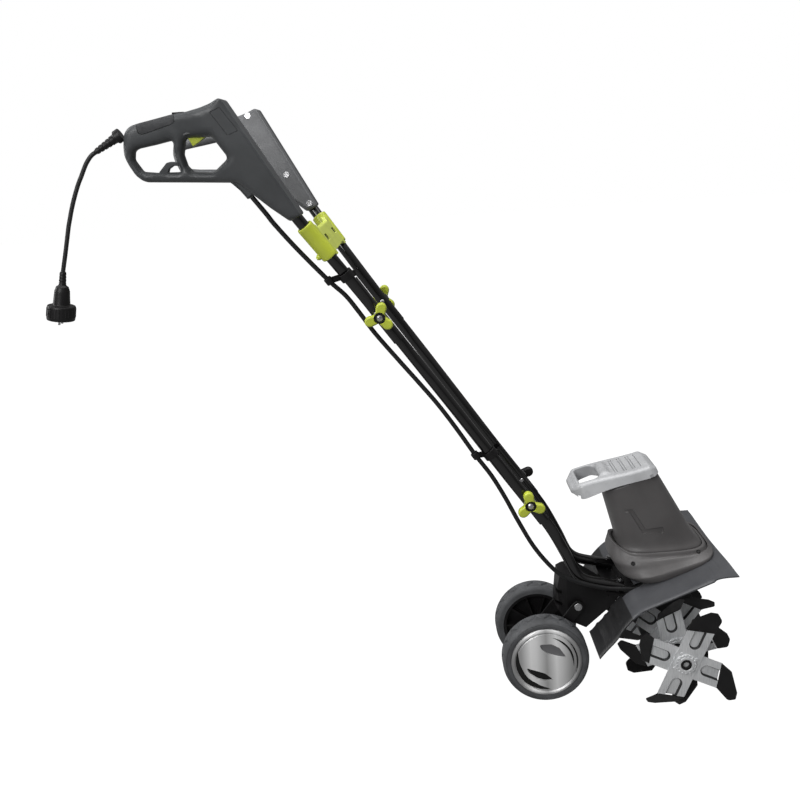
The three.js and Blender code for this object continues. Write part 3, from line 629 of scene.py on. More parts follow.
def arc_profile(points, radius, steps=3):
    """An open profile with its inner corners rounded."""
    result = [points[0]]
    for before, corner, after in zip(points, points[1:], points[2:]):
        corner_at = Vector(corner)
        back, forward = Vector(before) - corner_at, Vector(after) - corner_at
        reach = min(radius, back.length * 0.45, forward.length * 0.45)
        start, end = corner_at + back.normalized() * reach, corner_at + forward.normalized() * reach
        for k in range(steps + 1):
            share = k / steps
            spot = start * (1 - share) ** 2 + corner_at * 2 * share * (1 - share) + end * share ** 2
            result.append(tuple(spot))
    result.append(points[-1])
    return result


def smooth_route(points, pieces):
    """Points along a smooth curve through the given ones."""
    ends = [2 * Vector(points[0]) - Vector(points[1]), *map(Vector, points),
            2 * Vector(points[-1]) - Vector(points[-2])]
    route = []
    for before, start, end, after in zip(ends, ends[1:], ends[2:], ends[3:]):
        for k in range(pieces):
            t = k / pieces
            route.append(0.5 * (2 * start + (end - before) * t + (2 * before - 5 * start + 4 * end - after)
                                * t * t + (3 * start - before - 3 * end + after) * t ** 3))
    route.append(ends[-2])
    return route


def sweep(name, route, radius, sides=24, wall=None, place=MACHINE, reach=None):
    """A tube along a route. reach, if given, is the radius at each share of its length."""
    rings, inner = [], []
    side = None
    total = len(route) - 1
    for i, point in enumerate(route):
        along = (route[min(i + 1, total)] - route[max(i - 1, 0)]).normalized()
        side = along.orthogonal() if side is None else side - along * side.dot(along)
        side.normalize()
        other = along.cross(side)
        size = reach(i / total) if reach else radius
        turns = [2 * math.pi * k / sides for k in range(sides)]
        rings.append([point + side * (size * math.cos(t)) + other * (size * math.sin(t)) for t in turns])
        if wall:
            size -= wall
            inner.append([point + side * (size * math.cos(t)) + other * (size * math.sin(t)) for t in turns])
    if wall:
        return loft(name, rings + inner[::-1], place, closed=True)
    return loft(name, rings, place)


def block(name, low, high, place=MACHINE):
    points = [(x, y, z) for x in (low[0], high[0]) for y in (low[1], high[1]) for z in (low[2], high[2])]
    faces = [(0, 1, 3, 2), (4, 6, 7, 5), (0, 4, 5, 1), (2, 3, 7, 6), (0, 2, 6, 4), (1, 5, 7, 3)]
    return make(name, points, faces, place)


# ---------------------------------------------------------------- supply cord
CORD_PLANE = -175
CORD_ROUTE = [(-1032, 1172), (-1037.5, 1168.6), (-1044, 1162), (-1050.5, 1153), (-1056, 1143), (-1061, 1133),
              (-1067.5, 1121), (-1073, 1109), (-1078, 1097), (-1083, 1084), (-1087.5, 1071), (-1091.5, 1058),
              (-1095.5, 1045), (-1099, 1031), (-1103, 1015), (-1107, 999), (-1111.5, 982), (-1116, 965)]
GLAND_FROM = (-978, CORD_PLANE, 1203)
GLAND_TO = (-1031.8, CORD_PLANE, 1172.2)
PLUG_FROM = (-1116.1, CORD_PLANE, 964.5)
PLUG_TO = (-1131.6, CORD_PLANE, 876)


def add_cord():
    """The short free lead: its gland, its line and the plug that hangs on it."""
    route = smooth_route([(x, CORD_PLANE, z) for x, z in CORD_ROUTE], 4)
    cord = sweep("cord_line", route, CORD_RADIUS, 20)
    place_on(cord, "handle_upper", "rubber_cable", "cord")

    collar = [(0, 4), (12.3, 4), (12.5, 6), (12.5, 14), (11, 15.5), (9, 16.5), (8.6, 19)]
    ribs = []
    for k in range(5):
        start = 21 + k * 8
        radius = 8.4 - k * 0.65
        ribs += [(radius, start), (radius, start + 4.6), (radius - 1.3, start + 5.4),
                 (radius - 1.3, start + 7.4)]
    gland = turned("gland_boot", arc_profile([*collar, *ribs, (4.1, 61.5), (0, 61.5)], 0.7), GLAND_FROM,
                   GLAND_TO, 32)
    place_on(gland, "handle_upper", "black_plastic", "cord_gland")

    body = [(0, 0.3), (5.2, 0.3), (6.2, 5), (5.6, 6), (6.4, 11), (5.8, 12), (6.6, 17), (6, 18), (6.8, 25),
            (11, 28), (13.6, 36), (14.6, 52), (15.4, 61), (24.6, 63), (25.4, 66), (25.4, 84), (24.6, 89.5),
            (22.5, 90), (22, 86), (0, 86)]
    plug = turned("plug_body", arc_profile(body, 0.9), PLUG_FROM, PLUG_TO, 48)
    axis = (Vector(PLUG_TO) - Vector(PLUG_FROM)).normalized()
    ribs = []
    for k in range(28):
        angle = 2 * math.pi * k / 28
        side = Vector((0, 1, 0)) * math.cos(angle) + axis.cross(Vector((0, 1, 0))) * math.sin(angle)
        middle = Vector(PLUG_FROM) + side * 25.2
        ribs.append(sweep("rib", [middle + axis * 67, middle + axis * 83], 0.9, 6))
    plug = merged("plug_body", [plug, *ribs])
    place_on(plug, "handle_upper", "black_plastic", "plug")
    pins = [sweep("pin", [Vector(PLUG_FROM) + axis * 84 + Vector((0, y, 0)),
                          Vector(PLUG_FROM) + axis * 98 + Vector((0, y, 0))], 2.2, 16) for y in (-7, 7)]
    pins = place_on(merged("plug_pins", pins), "handle_upper", "bright_steel")


add_cord()


# ---------------------------------------------------------------- handle tubes
LOWER_TUBE = [(-92, 52, 224), (-122, 52, 230.2), (-156, 52.5, 238.5), (-173, 53, 245.5), (-186, 53.5, 257),
              (-195, 54, 274), (-208, 54.8, 305), (-238, 58, 365), (-278.5, 62, 426), (-329, 62, 500)]
MIDDLE_TUBE = [(-251, 74, 385), (-278.5, 74, 426), (-329, 74, 500), (-414, 79, 628), (-500, 87.5, 756),
               (-550.5, 87.5, 830), (-599, 87.5, 902)]
UPPER_TUBE = [(-517, 100, 781), (-550.5, 100, 830), (-572, 100.2, 862), (-634, 120.5, 954),
              (-687, 142, 1031), (-713, 151.5, 1080)]


def on_right(route):
    return [(x, -y, z) for x, y, z in route]


def centre_line(route):
    """How far the route is from the middle plane, at each height."""
    return sorted((point[2], point[1]) for point in route)


def height_to_y(line, z):
    for (z0, y0), (z1, y1) in zip(line, line[1:]):
        if z <= z1:
            return y0 + (y1 - y0) * max(0, z - z0) / (z1 - z0)
    return line[-1][1]


def handle_tube(name, route, folds, pieces=6):
    """A bent steel tube, pressed flat round its fold bolts."""
    tube = sweep(name, smooth_route(on_right(route), pieces), TUBE_RADIUS, 28, wall=1.5)
    line = centre_line(on_right(route))
    for vertex in tube.data.vertices:
        x, y, z = vertex.co.x / MM - TINE_AXLE_X, vertex.co.y / MM, vertex.co.z / MM
        away = min(math.hypot(x - fold_x, z - fold_z) for fold_x, fold_z in folds)
        share = min(1, max(0, (away - FLAT_REACH) / 40))
        share = share * share * (3 - 2 * share)
        keep = FLAT_HALF / TUBE_RADIUS + (1 - FLAT_HALF / TUBE_RADIUS) * share
        middle = height_to_y(line, z)
        vertex.co.y = (middle + (y - middle) * keep) * MM
    return tube


def add_tubes():
    for section, route, folds, body in (("lower", LOWER_TUBE, [LOWER_FOLD], "power_head"),
                                        ("middle", MIDDLE_TUBE, [LOWER_FOLD, UPPER_FOLD], "handle_middle"),
                                        ("upper", UPPER_TUBE, [UPPER_FOLD], "handle_upper")):
        right = handle_tube(f"tube_{section}_right_finished", route, folds)
        left = mirrored(right, f"tube_{section}_left_finished")
        place_on(right, body, "black_tube", f"tube_{section}_right", angle=50)
        place_on(left, body, "black_tube", f"tube_{section}_left", angle=50)


add_tubes()


# ---------------------------------------------------------------- fold knobs
def knob_outline(centre, turn):
    """Three broad lobes with flattened ends."""
    points = []
    for i in range(90):
        angle = 2 * math.pi * i / 90
        wave = math.cos(3 * (angle - turn))
        reach = 20.5 + 9.6 * math.copysign(abs(wave) ** 0.8, wave)
        points.append((centre[0] + reach * math.cos(angle), centre[1] + reach * math.sin(angle)))
    return points


def add_knob(name, side, fold, seat, depth, turn, look="lime"):
    """A three-lobed hand nut: its grip, a dark ring recess and the domed end of its bolt."""
    x, z = fold
    grip = slab(f"{name}_grip", knob_outline(fold, turn), -seat - 16, -seat - 1.5, edge=(3.6, 4.6), steps=5)
    recess = turned("recess", [(0, 0), (11.6, 0), (10.8, 6), (0, 6)], (x, -seat - 16.5, z), (x, 0, z), 40)
    cut(grip, recess)
    washer = turned("washer", arc_profile([(4.2, 0), (13, 0), (13, 1.4), (4.2, 1.4)], 0.4),
                    (x, -seat - 1.5, z), (x, 0, z), 32)
    ring = turned(f"{name}_ring", arc_profile([(0, 0), (10.6, 0), (10.6, 2.2), (7.8, 2.2), (7.2, 1), (0, 1)],
                                              0.4), (x, -seat - 11, z), (x, -seat - 20, z), 40)
    screw = turned("screw", arc_profile([(0, -2.4), (3.6, -2.2), (6.2, -0.6), (6.4, 1), (4.4, 1.6),
                                         (0, 1.6)], 0.6), (x, -seat - 12.4, z), (x, 0, z), 32)
    slot = [block("slot", (x - 4.2, -seat - 15.4, z - 0.6), (x + 4.2, -seat - 14, z + 0.6)),
            block("slot", (x - 0.6, -seat - 15.4, z - 4.2), (x + 0.6, -seat - 14, z + 4.2))]
    cut(screw, *slot)
    bolt = turned("bolt", [(0, 0), (3.2, 0), (4, 1), (4, seat + 2 - depth), (0, seat + 2 - depth)],
                  (x, -depth, z), (x, -seat - 4, z), 20)
    screw = merged(f"{name}_bolt", [screw, bolt, washer])
    for piece, slot_name in ((grip, "lime"), (ring, "black_plastic"), (screw, "bright_steel")):
        if side > 0:
            piece.data.transform(Matrix.Diagonal((1, -1, 1, 1)))
            recalculate(piece)
        shown = LOOKS[look] if slot_name == "lime" else None
        place_on(piece, name, slot_name, name, material=shown)


add_knob("knob_lower_right", -1, LOWER_FOLD, 79.8, 52, 1.75)
add_knob("knob_lower_left", 1, LOWER_FOLD, 79.8, 52, 0.3, "black_plastic")
add_knob("knob_upper_right", -1, UPPER_FOLD, 105.8, 76, 1.35)
add_knob("knob_upper_left", 1, UPPER_FOLD, 105.8, 76, 1.35)


# ---------------------------------------------------------------- grip housings
GRIP_TOP = (186, 1250)                # distance from the middle plane, and height, of the housings' top
GRIP_SPLAY = 0.2                      # how far they lean outwards for each unit of height
SEAM = 0.3                            # half of the gap between the two shells
BODY_HALF = 31
LOOP_HALF = 17
GRIP_OUTLINE = [(-793, 1250), (-676, 1037), (-698, 1025), (-732, 1053), (-759, 1078), (-775, 1093),
                (-786, 1102), (-868, 1108), (-952, 1114), (-966, 1127), (-975, 1145), (-981, 1162),
                (-979, 1182), (-974, 1203), (-962, 1214), (-945, 1218), (-923, 1222), (-883, 1229.5),
                (-862, 1231), (-833, 1237)]
GRIP_RADII = [7, 5, 9, 60, 60, 40, 30, 200, 26, 30, 60, 60, 60, 30, 26, 60, 200, 90, 90, 60]
REAR_OPENING = [(-961, 1170), (-952, 1174), (-919, 1179), (-889, 1184.5), (-892, 1167), (-888.5, 1145),
                (-881, 1128), (-926, 1129.5), (-952, 1133), (-964, 1155)]
FRONT_OPENING = [(-868, 1186), (-820, 1186), (-796, 1147), (-827, 1123), (-862, 1127), (-871, 1138),
                 (-875, 1158)]
PLAIN_OPENING = [(-961, 1170), (-952, 1174), (-919, 1179), (-868, 1187), (-820, 1186), (-796, 1147),
                 (-827, 1123), (-926, 1129.5), (-952, 1133), (-964, 1155)]
HOOK = [(-927, 1127), (-908, 1146), (-900, 1147.5), (-884, 1146), (-884, 1138.5), (-896, 1140),
        (-904.5, 1135), (-908, 1127)]
FRONT_EDGE = (Vector((-793, 1250)), Vector((-676, 1037)))


def from_front(x, z):
    """How far a point lies behind the front edge of the housing."""
    start, end = FRONT_EDGE
    along = (end - start).normalized()
    gap = Vector((x, z)) - start
    return abs(gap.x * along.y - gap.y * along.x)


def grip_thickness(x, z):
    """Half thickness of the housing: a deep front part that runs into a slim loop."""
    share = eased(from_front(x, z), 44, 104)
    return BODY_HALF + (LOOP_HALF - BODY_HALF) * share


def grip_rounding(x, z):
    """How far in the rounding reaches, and how much of the side stays upright at the rim."""
    front = 1 - eased(from_front(x, z), 3, 26)
    reach = 15 - 10.5 * front
    lower = 1 - eased(z, 1118, 1150)
    return reach * (1 - 0.3 * lower * (1 - front)), 0.18 + 0.68 * front


def grip_shell(name, outline, holes, sign):
    """One half of a housing, from the seam plane out to its crowned face, drawn upright."""
    loops = [dense(outline), *map(dense, holes)]
    spots, faces, gaps = sheet(loops, (0.5, 1.6, 3.4, 6.0, 9.4), 4.6, 12)
    skin = []
    for (x, z), gap in zip(spots, gaps):
        full = grip_thickness(x, z)
        reach, upright = grip_rounding(x, z)
        rise = math.sqrt(1 - (1 - min(1, gap / reach)) ** 2)
        wall = full * upright
        skin.append(sign * (wall + (full - wall) * rise))
    return sheet_body(name, spots, faces, skin, [sign * SEAM] * len(spots))


def splayed(obj, side):
    """Leans an upright piece outwards onto its own side of the machine."""
    for vertex in obj.data.vertices:
        middle = GRIP_TOP[0] * MM - GRIP_SPLAY * (GRIP_TOP[1] * MM - vertex.co.z)
        vertex.co.y = side * (middle + vertex.co.y)
    recalculate(obj)
    return obj


LABEL = [(-813, 1226.5), (-795, 1233.5), (-768.5, 1192.5), (-787.5, 1185.5)]
PANEL = [(-945.5, 1199.5), (-948.5, 1213), (-945, 1230), (-884, 1240), (-879.5, 1222), (-879.5, 1214.5),
         (-888.5, 1210.5), (-938.5, 1197.5)]


TRIGGER_LIP = [(-868, 1190.5), (-866, 1194.5), (-853, 1198.5), (-838, 1197.8), (-825, 1193.5),
               (-822, 1189), (-838, 1193.5), (-852, 1194)]


def panel_groove(points, depth_from, depth_to, width=0.9, radius=3):
    """A thin frame-shaped tool that scores an outline into a face."""
    line = rounded(points, radius)
    line = line if area(line) > 0 else line[::-1]
    return slab("groove", offset(line, -width / 2), depth_from, depth_to, [offset(line, width / 2)],
                (0.01, 0.01), 1)


def paint_region(obj, outline, material):
    """Gives the faces within a side outline another material."""
    obj.data.materials.append(material)
    for face in obj.data.polygons:
        x, z = face.center.x / MM - TINE_AXLE_X, face.center.z / MM
        if inside((x, z), outline):
            face.material_index = len(obj.data.materials) - 1


def add_grips():
    outline = rounded(GRIP_OUTLINE, GRIP_RADII)
    outline = outline if area(outline) > 0 else outline[::-1]
    for side_name, side in SIDES:
        openings = [REAR_OPENING, FRONT_OPENING] if side < 0 else [PLAIN_OPENING]
        holes = [rounded(points, 9) for points in openings]
        for part, sign in (("outer", 1), ("inner", -1)):
            name = f"grip_{side_name}_{part}"
            shell = grip_shell(f"{name}_shell", outline, holes, sign)
            tools = []
            if side < 0:
                tools.append(block("trigger_slot", (-869, -7.5, 1176), (-819, 7.5, 1206)))
                tools.append(block("button_slot", (-886, -8, 1212), (-862, 8, 1250)))
            if part == "outer":
                tools.append(panel_groove(LABEL, 29.6, 40, 1.0, 2))
            tools.append(panel_groove(PANEL, *sorted((sign * 8, sign * 20)), 0.9))
            cut(shell, *tools)
            splayed(shell, side)
            look = INNER_FACE if side > 0 and part == "inner" else LOOKS["handle_shell"]
            place_on(shell, "handle_upper", "handle_shell", name, material=look, angle=40)
            paint_region(shell, PANEL, GRIP_RUBBER)
    hook = slab("cord_hook", rounded(HOOK, 3), -6, 6, edge=(1.4, 1.4), steps=3)
    place_on(splayed(hook, -1), "handle_upper", "handle_shell")
    add_grip_details()


def add_grip_details():
    """Screws on both housings, the boot under the right one, and the lip over the trigger."""
    screws = []
    for x, z in ((-810.6, 1235.2), (-735.7, 1106.4), (-690.9, 1043.4)):
        screws.append(turned("screw", arc_profile([(0, -1), (6.4, -1), (6.4, 0.9), (4.2, 0.9), (3.6, 0.1),
                                                   (0, 0.1)], 0.3), (x, -BODY_HALF, z),
                             (x, -BODY_HALF - 2, z), 24))
    heads = merged("grip_screws_left", screws)
    right = bpy.data.objects.new("grip_screws_right", heads.data.copy())
    bpy.context.scene.collection.objects.link(right)
    place_on(splayed(heads, 1), "handle_upper", "bright_steel")
    place_on(splayed(right, -1), "handle_upper", "bright_steel")
    boot = slab("cable_boot", rounded([(-800, 1106), (-791.5, 1100), (-771, 1071), (-758, 1079),
                                       (-764, 1092), (-776, 1102)], 2.5), -11, 11, edge=(3.5, 3.5), steps=3)
    place_on(splayed(boot, -1), "handle_upper", "handle_shell")
    line = rounded(TRIGGER_LIP, 3)
    lip = slab("trigger_lip", line, -19.5, -14, edge=(0.8, 1.5))
    mirror = slab("trigger_lip", line, 14, 19.5, edge=(0.8, 1.5))
    lip = merged("trigger_lip", [lip, mirror])
    place_on(splayed(lip, -1), "handle_upper", "handle_shell", material=INNER_FACE)


add_grips()


# ---------------------------------------------------------------- power head housings, in the head's frame
SEAM_REAR = (-30, 205)                # where the motor housing meets the base
SEAM_FRONT = (135, 149)
MOTOR_TOP = ((-8, 106, 56), 337.7)    # rear, front, half width at a height
MOTOR_FOOT = ((-27, 131, 64), 160)
RING_POINTS = 112


def seam_height(u):
    slope = (SEAM_FRONT[1] - SEAM_REAR[1]) / (SEAM_FRONT[0] - SEAM_REAR[0])
    return SEAM_REAR[1] + slope * (u - SEAM_REAR[0])


def motor_section(w):
    """Rear, front and half width of the motor housing at a height."""
    share = (w - MOTOR_FOOT[1]) / (MOTOR_TOP[1] - MOTOR_FOOT[1])
    return [low + (high - low) * share for low, high in zip(MOTOR_FOOT[0], MOTOR_TOP[0])]


def squared_circle(rear_power, front_power):
    """Points round a circle that is pushed out into its corners: a smaller power gives sharper ones."""
    result = []
    for i in range(RING_POINTS):
        angle = 2 * math.pi * (i + 0.5) / RING_POINTS
        power = rear_power if math.cos(angle) < 0 else front_power
        p = math.copysign(abs(math.cos(angle)) ** (2 * power), math.cos(angle))
        q = math.copysign(abs(math.sin(angle)) ** (2 * power), math.sin(angle))
        result.append((p, q))
    return result


def motor_ring(share, grow=0.0, low=0.0, high=None):
    """One ring of the motor housing: share runs from the sloping seam to the top."""
    ring = []
    for p, q in squared_circle(0.34, 0.27):
        w = 200
        for _ in range(3):
            rear, front, half = motor_section(w)
            u = (rear + front) / 2 + p * ((front - rear) / 2 + grow)
            bottom = seam_height(u) + low
            top = MOTOR_TOP[1] if high is None else seam_height(u) + high
            w = bottom + (top - bottom) * share
        ring.append(Vector((u, q * (half + grow), w)))
    return ring


def curved(rings, pieces=4):
    """More rings between the given ones, so that their columns become smooth curves."""
    columns = [smooth_route(column, pieces) for column in zip(*rings)]
    return [list(ring) for ring in zip(*columns)]


def channel(points, widths, depth):
    """Tools for a shallow channel pressed into both sides of the motor housing, along a line of (u, w)."""
    left, right = [], []
    for i, point in enumerate(points):
        ahead = Vector(points[min(i + 1, len(points) - 1)]) - Vector(points[max(i - 1, 0)])
        ahead.normalize()
        normal = Vector((-ahead.y, ahead.x))
        left.append(tuple(Vector(point) + normal * widths[i] / 2))
        right.append(tuple(Vector(point) - normal * widths[i] / 2))
    outline = rounded([*left, *right[::-1]], 5)
    tools = []
    for _, side in SIDES:
        tool = slab("channel", outline, 0, 30, edge=(1.6, 2.4), steps=3, place=HEAD)
        for vertex in tool.data.vertices:
            local = HEAD.inverted() @ vertex.co
            half = motor_section(local.z)[2]
            local.y = side * (half - depth + local.y)
            vertex.co = HEAD @ local
        recalculate(tool)
        tools.append(tool)
    return tools


def add_motor_housing():
    rings = []
    for share, grow in ((0, 4.2), (0.012, 5), (0.03, 5), (0.05, 3.4), (0.075, 1.8), (0.11, 0.7),
                        (0.16, 0.1)):
        rings.append(motor_ring(share, grow))
    rings += [motor_ring(0.16 + 0.8 * k / 12) for k in range(1, 13)]
    rings += [motor_ring(share, grow) for share, grow in ((0.975, -0.2), (0.985, -1), (0.995, -2.4),
                                                          (1.0, -4.5))]
    shell = loft("motor_shell", rings, HEAD)
    line = [(11, 285.5), (26, 282.5), (34.5, 231), (71.5, 219)]
    cut(shell, *channel(line, [8, 9, 11, 15], 4.2))
    place_on(shell, "power_head", "housing", "motor_housing", angle=38)


BASE_SCREWS = [(-11.8, 190), (118.3, 161.5)]
# rear, front and half width of the base, and how high each ring is: at the rear, and at the front
BASE_RINGS = [((-22, 147, 98), (136.6, 136.4)), ((-28, 148.5, 99), (142, 138)),
              ((-36, 149.5, 99.4), (150, 140)), ((-42, 150, 98.6), (156, 141.5)),
              ((-44, 149.6, 97.4), (159, 142.4)), ((-46, 148.6, 94), (165, 143.4)),
              ((-47, 147, 88), (177, 145)), ((-48, 145, 82), (192, 147))]


def rear_rise(u):
    """How much higher the collar stands behind the motor."""
    return 17 * eased(-u, 6, 44)


def base_ring(plan, heights):
    rear, front, half = plan
    ring = []
    for p, q in squared_circle(0.3, 0.22):
        u = (rear + front) / 2 + p * (front - rear) / 2
        share = (u - rear) / (front - rear)
        ring.append(Vector((u, q * half, heights[0] + (heights[1] - heights[0]) * share)))
    return ring


def collar_ring(grow, lift):
    return [Vector((p.x, p.y, p.z + lift + rear_rise(p.x))) for p in motor_ring(0, grow)]


def add_base_housing():
    outer = [base_ring(plan, heights) for plan, heights in BASE_RINGS]
    outer += [collar_ring(13, -5.5), collar_ring(10.5, 1.2)]
    rim = [collar_ring(9.4, 2.6), collar_ring(7.6, 3.2), collar_ring(5.8, 2.6), collar_ring(5.2, 1.0)]
    inner = [collar_ring(5.2, -9), base_ring((-20, 126, 60), (137, 137))]
    base = loft("base_shell", curved(outer) + rim + inner, HEAD, closed=True)
    wells = []
    for u, w in BASE_SCREWS:
        for _, side in SIDES:
            down = Vector((0.24, side * 0.35, 1)).normalized()
            at = Vector((u, side * 78, w))
            wells.append(turned("well", [(0, 0), (4.6, 0), (5.4, 18), (0, 18)], at - down * 7,
                                at + down * 20, 24, HEAD))
    grooves = [block("groove", (150, -48 + k * 8, 140), (175, -44.6 + k * 8, 154), HEAD) for k in range(13)]
    cut(base, *wells, *grooves)
    place_on(base, "power_head", "housing", "base_housing", angle=30)
    heads = []
    for u, w in BASE_SCREWS:
        for _, side in SIDES:
            down = Vector((0.24, side * 0.35, 1)).normalized()
            at = Vector((u, side * 78, w))
            profile = arc_profile([(0, -7), (4.1, -7), (4.1, -4.6), (2.4, -4.2), (2, -5), (0, -5)], 0.4)
            heads.append(turned("head", profile, at, at + down, 20, HEAD))
    place_on(merged("base_screws", heads), "power_head", "black_steel")


CAP_HALF = 58.5                       # at its foot; the sides lean in towards the top
CAP_TOP_HALF = 43
CAP_RIBS = (28, 33, 46, 51, 64, 69, 81)


def cap_top(u):
    """Height of the cap's top along the machine."""
    return 371.5 - 20 * eased(u, -60, 112) - 6 * eased(u, 94, 109) - 7 * eased(-u, 46, 68)


def cap_foot(u):
    """Height of the cap's lower edge."""
    return 342 - 14 * eased(u, -10, 125) + 10 * eased(-u, 54, 70)


def add_top_cap():
    """The silver handle: a ring to lift by at the rear, a palm swell, and fine ribs over the motor."""
    outline = rounded([(-70, -26), (-52, -CAP_HALF), (96, -CAP_HALF), (109, -40), (109, 40), (96, CAP_HALF),
                       (-52, CAP_HALF), (-70, 26)], 16, 7)
    hole = rounded([(-47, -44), (-16, -44), (-4, -26), (-4, 26), (-16, 44), (-47, 44)], 9)
    spots, faces, gaps = sheet([dense(outline, 3), dense(hole, 3)], (0.4, 1.0, 2.0, 3.4, 5.2), 2.6, 6.5)
    high, low = [], []
    for (u, v), gap in zip(spots, gaps):
        near_hole = -53 < u < 4 and abs(v) < 51
        reach, depth = (4.5, 5.0) if near_hole else (5.5, 6.5)
        fall = depth * (1 - math.sqrt(max(0, 1 - (1 - min(1, gap / reach)) ** 2)))
        swell = 5 * eased(14 - abs(u - 9), 0, 11) * eased(42 - abs(v), 0, 16)
        high.append(cap_top(u) - fall + swell)
        low.append(cap_foot(u) + 0.8 * eased(3 - gap, 0, 3))
    cap = sheet_body("cap_shell", spots, faces, high, low, "plan", HEAD)
    for vertex in cap.data.vertices:
        local = HEAD.inverted() @ vertex.co
        rise = eased(local.z, cap_foot(local.x) + 4, cap_top(local.x) + 14)
        lean = 1 - (1 - CAP_TOP_HALF / CAP_HALF) * rise * eased(abs(local.y), 20, 56)
        local.y *= lean
        local.x += (3 * eased(-local.x, 52, 70) - 5 * eased(local.x, 92, 109)) * rise
        vertex.co = HEAD @ local
    ribs = [block("slot", (u - 1.0, -36, cap_top(u) - 2.4), (u + 1.0, 36, cap_top(u) + 9), HEAD)
            for u in CAP_RIBS]
    room = loft("room", [motor_ring(0.8, 0.5), motor_ring(1.0, 0.5),
                         [p + Vector((0, 0, 1)) for p in motor_ring(1, 0.5)],
                         [Vector((p.x * 0.7 + 14, p.y * 0.7, p.z + 7)) for p in motor_ring(1, 0.5)]], HEAD)
    under = block("under", (-60, -50, 330), (-6, 50, 350), HEAD)
    core = block("core", (-51, -47, 320), (-4, 47, 370), HEAD)
    cut(under, core)
    notches = [block("notch", (88, side * 60 - 5, 322), (96, side * 60 + 5, 336.5), HEAD)
               for _, side in SIDES]
    cut(cap, *ribs, room, under, *notches)
    place_on(cap, "power_head", "silver_plastic", "top_cap", angle=34)


GUARD_HALF = 163
GUARD_WALL = 2.6
GUARD_PROFILE = [(166, 132), (146, 136), (122, 137.5), (20, 135.5), (-40, 134.3), (-62, 126), (-84, 114),
                 (-106, 98), (-128, 88), (-150, 76)]


def guard_height(u):
    """Top of the guard along the machine, as a line through its profile."""
    line = sorted(GUARD_PROFILE)
    for (u0, w0), (u1, w1) in zip(line, line[1:]):
        if u <= u1:
            return w0 + (w1 - w0) * (u - u0) / (u1 - u0)
    return line[-1][1]


def guard_front(v):
    """How far forward the guard reaches: a little more towards its corners."""
    return 156 + 4.5 * (abs(v) / GUARD_HALF) ** 1.5


def guard_skin_height(u, v):
    w = (guard_height(u) + guard_height(u - 7) + guard_height(u + 7)) / 3
    w -= 2.4 * eased(abs(v), GUARD_HALF - 5, GUARD_HALF) * eased(118 - u, 0, 6)
    w -= 7 * eased(abs(v), 112, GUARD_HALF) * eased(u, 118, 164)
    # soft pressed ribs along the front edge, and across the rear apron
    fan = guard_front(v) - u
    if 4 < fan < 36 and abs(v) > 84:
        w += 0.9 * eased(math.cos((fan - 4) * 2 * math.pi / 8), -0.2, 1) * eased(abs(v), 84, 100) * eased(
            GUARD_HALF - abs(v), 2, 12)
    if u < -66:
        w += 1.8 * eased(math.cos((u + 66) * 2 * math.pi / 21), 0.1, 0.9) * eased(
            GUARD_HALF - abs(v), 8, 24) * eased(-66 - u, 0, 8)
    return w


def add_guard():
    columns, rows = 96, 110
    points, faces = [], []
    for layer in (0, 1):
        for i in range(columns + 1):
            for j in range(rows + 1):
                v = GUARD_HALF * (2 * j / rows - 1)
                u = -150 + (guard_front(v) + 150) * i / columns
                points.append((u, v, guard_skin_height(u, v) - GUARD_WALL * layer))
    row = rows + 1
    size = (columns + 1) * row
    for i in range(columns):
        for j in range(rows):
            a, b = i * row + j, (i + 1) * row + j
            faces.append((a, b, b + 1, a + 1))
            faces.append((size + a, size + a + 1, size + b + 1, size + b))
    for i in range(columns):
        for j in (0, rows):
            a, b = i * row + j, (i + 1) * row + j
            faces.append((a, b, size + b, size + a))
    for j in range(rows):
        for i in (0, columns):
            a, b = i * row + j, i * row + j + 1
            faces.append((a, b, size + b, size + a))
    guard = make("guard_skin", points, faces, HEAD)
    rear = block("rear_room", (-170, -68, 60), (-28, 68, 150), HEAD)
    gear = block("gear_room", (-29, -30, 120), (104, 30, 150), HEAD)
    notch = block("cable_notch", (-60, -79, 100), (10, -60, 150), HEAD)
    cut(guard, rear, gear, notch)
    place_on(guard, "power_head", "guard", "guard", angle=40)
    guard.data.materials.append(GUARD_DARK)
    for face in guard.data.polygons:
        if (HEAD.inverted() @ face.center).x < -60:
            face.material_index = 1


add_motor_housing()
add_base_housing()
add_top_cap()
add_guard()


# ---------------------------------------------------------------- tine stars
STAR_PLANES = (48, 108, 168)          # distance of each star from the middle plane
STAR_TURNS = (51, 102, 65)            # rest angle of each star, degrees
# which way each tip of a star bends: 1 towards the middle plane
STAR_BENDS = ((-1, -1, -1, -1), (-1, 1, -1, 1), (1, -1, 1, -1))
FOLD = ((66, 26), (78, -26))          # the fold line between arm and tip
TIP = [(66, 26), (86, 21), (109, -12), (112, -26), (103, -37), (78, -26)]
TIP_BEND = 0.62
SHEET = 1.7                           # steel thickness
PRESSING = 4.6                        # depth of the pressed channels
CHANNEL_START = 33
CHANNEL_HALF = 11.5
CHANNEL_WALL = 2.8                    # how wide the slope down into a channel is


def channel_outline(turn):
    """The pressing on one arm: round at the hub end and open at the fold."""
    points = []
    for k in range(13):
        angle = math.pi / 2 + math.pi * k / 12
        points.append((CHANNEL_START + CHANNEL_HALF * (1 + math.cos(angle)), CHANNEL_HALF * math.sin(angle)))
    points += [(95, -CHANNEL_HALF), (95, CHANNEL_HALF)]
    return [(x * turn, z * turn) for x, z in points]


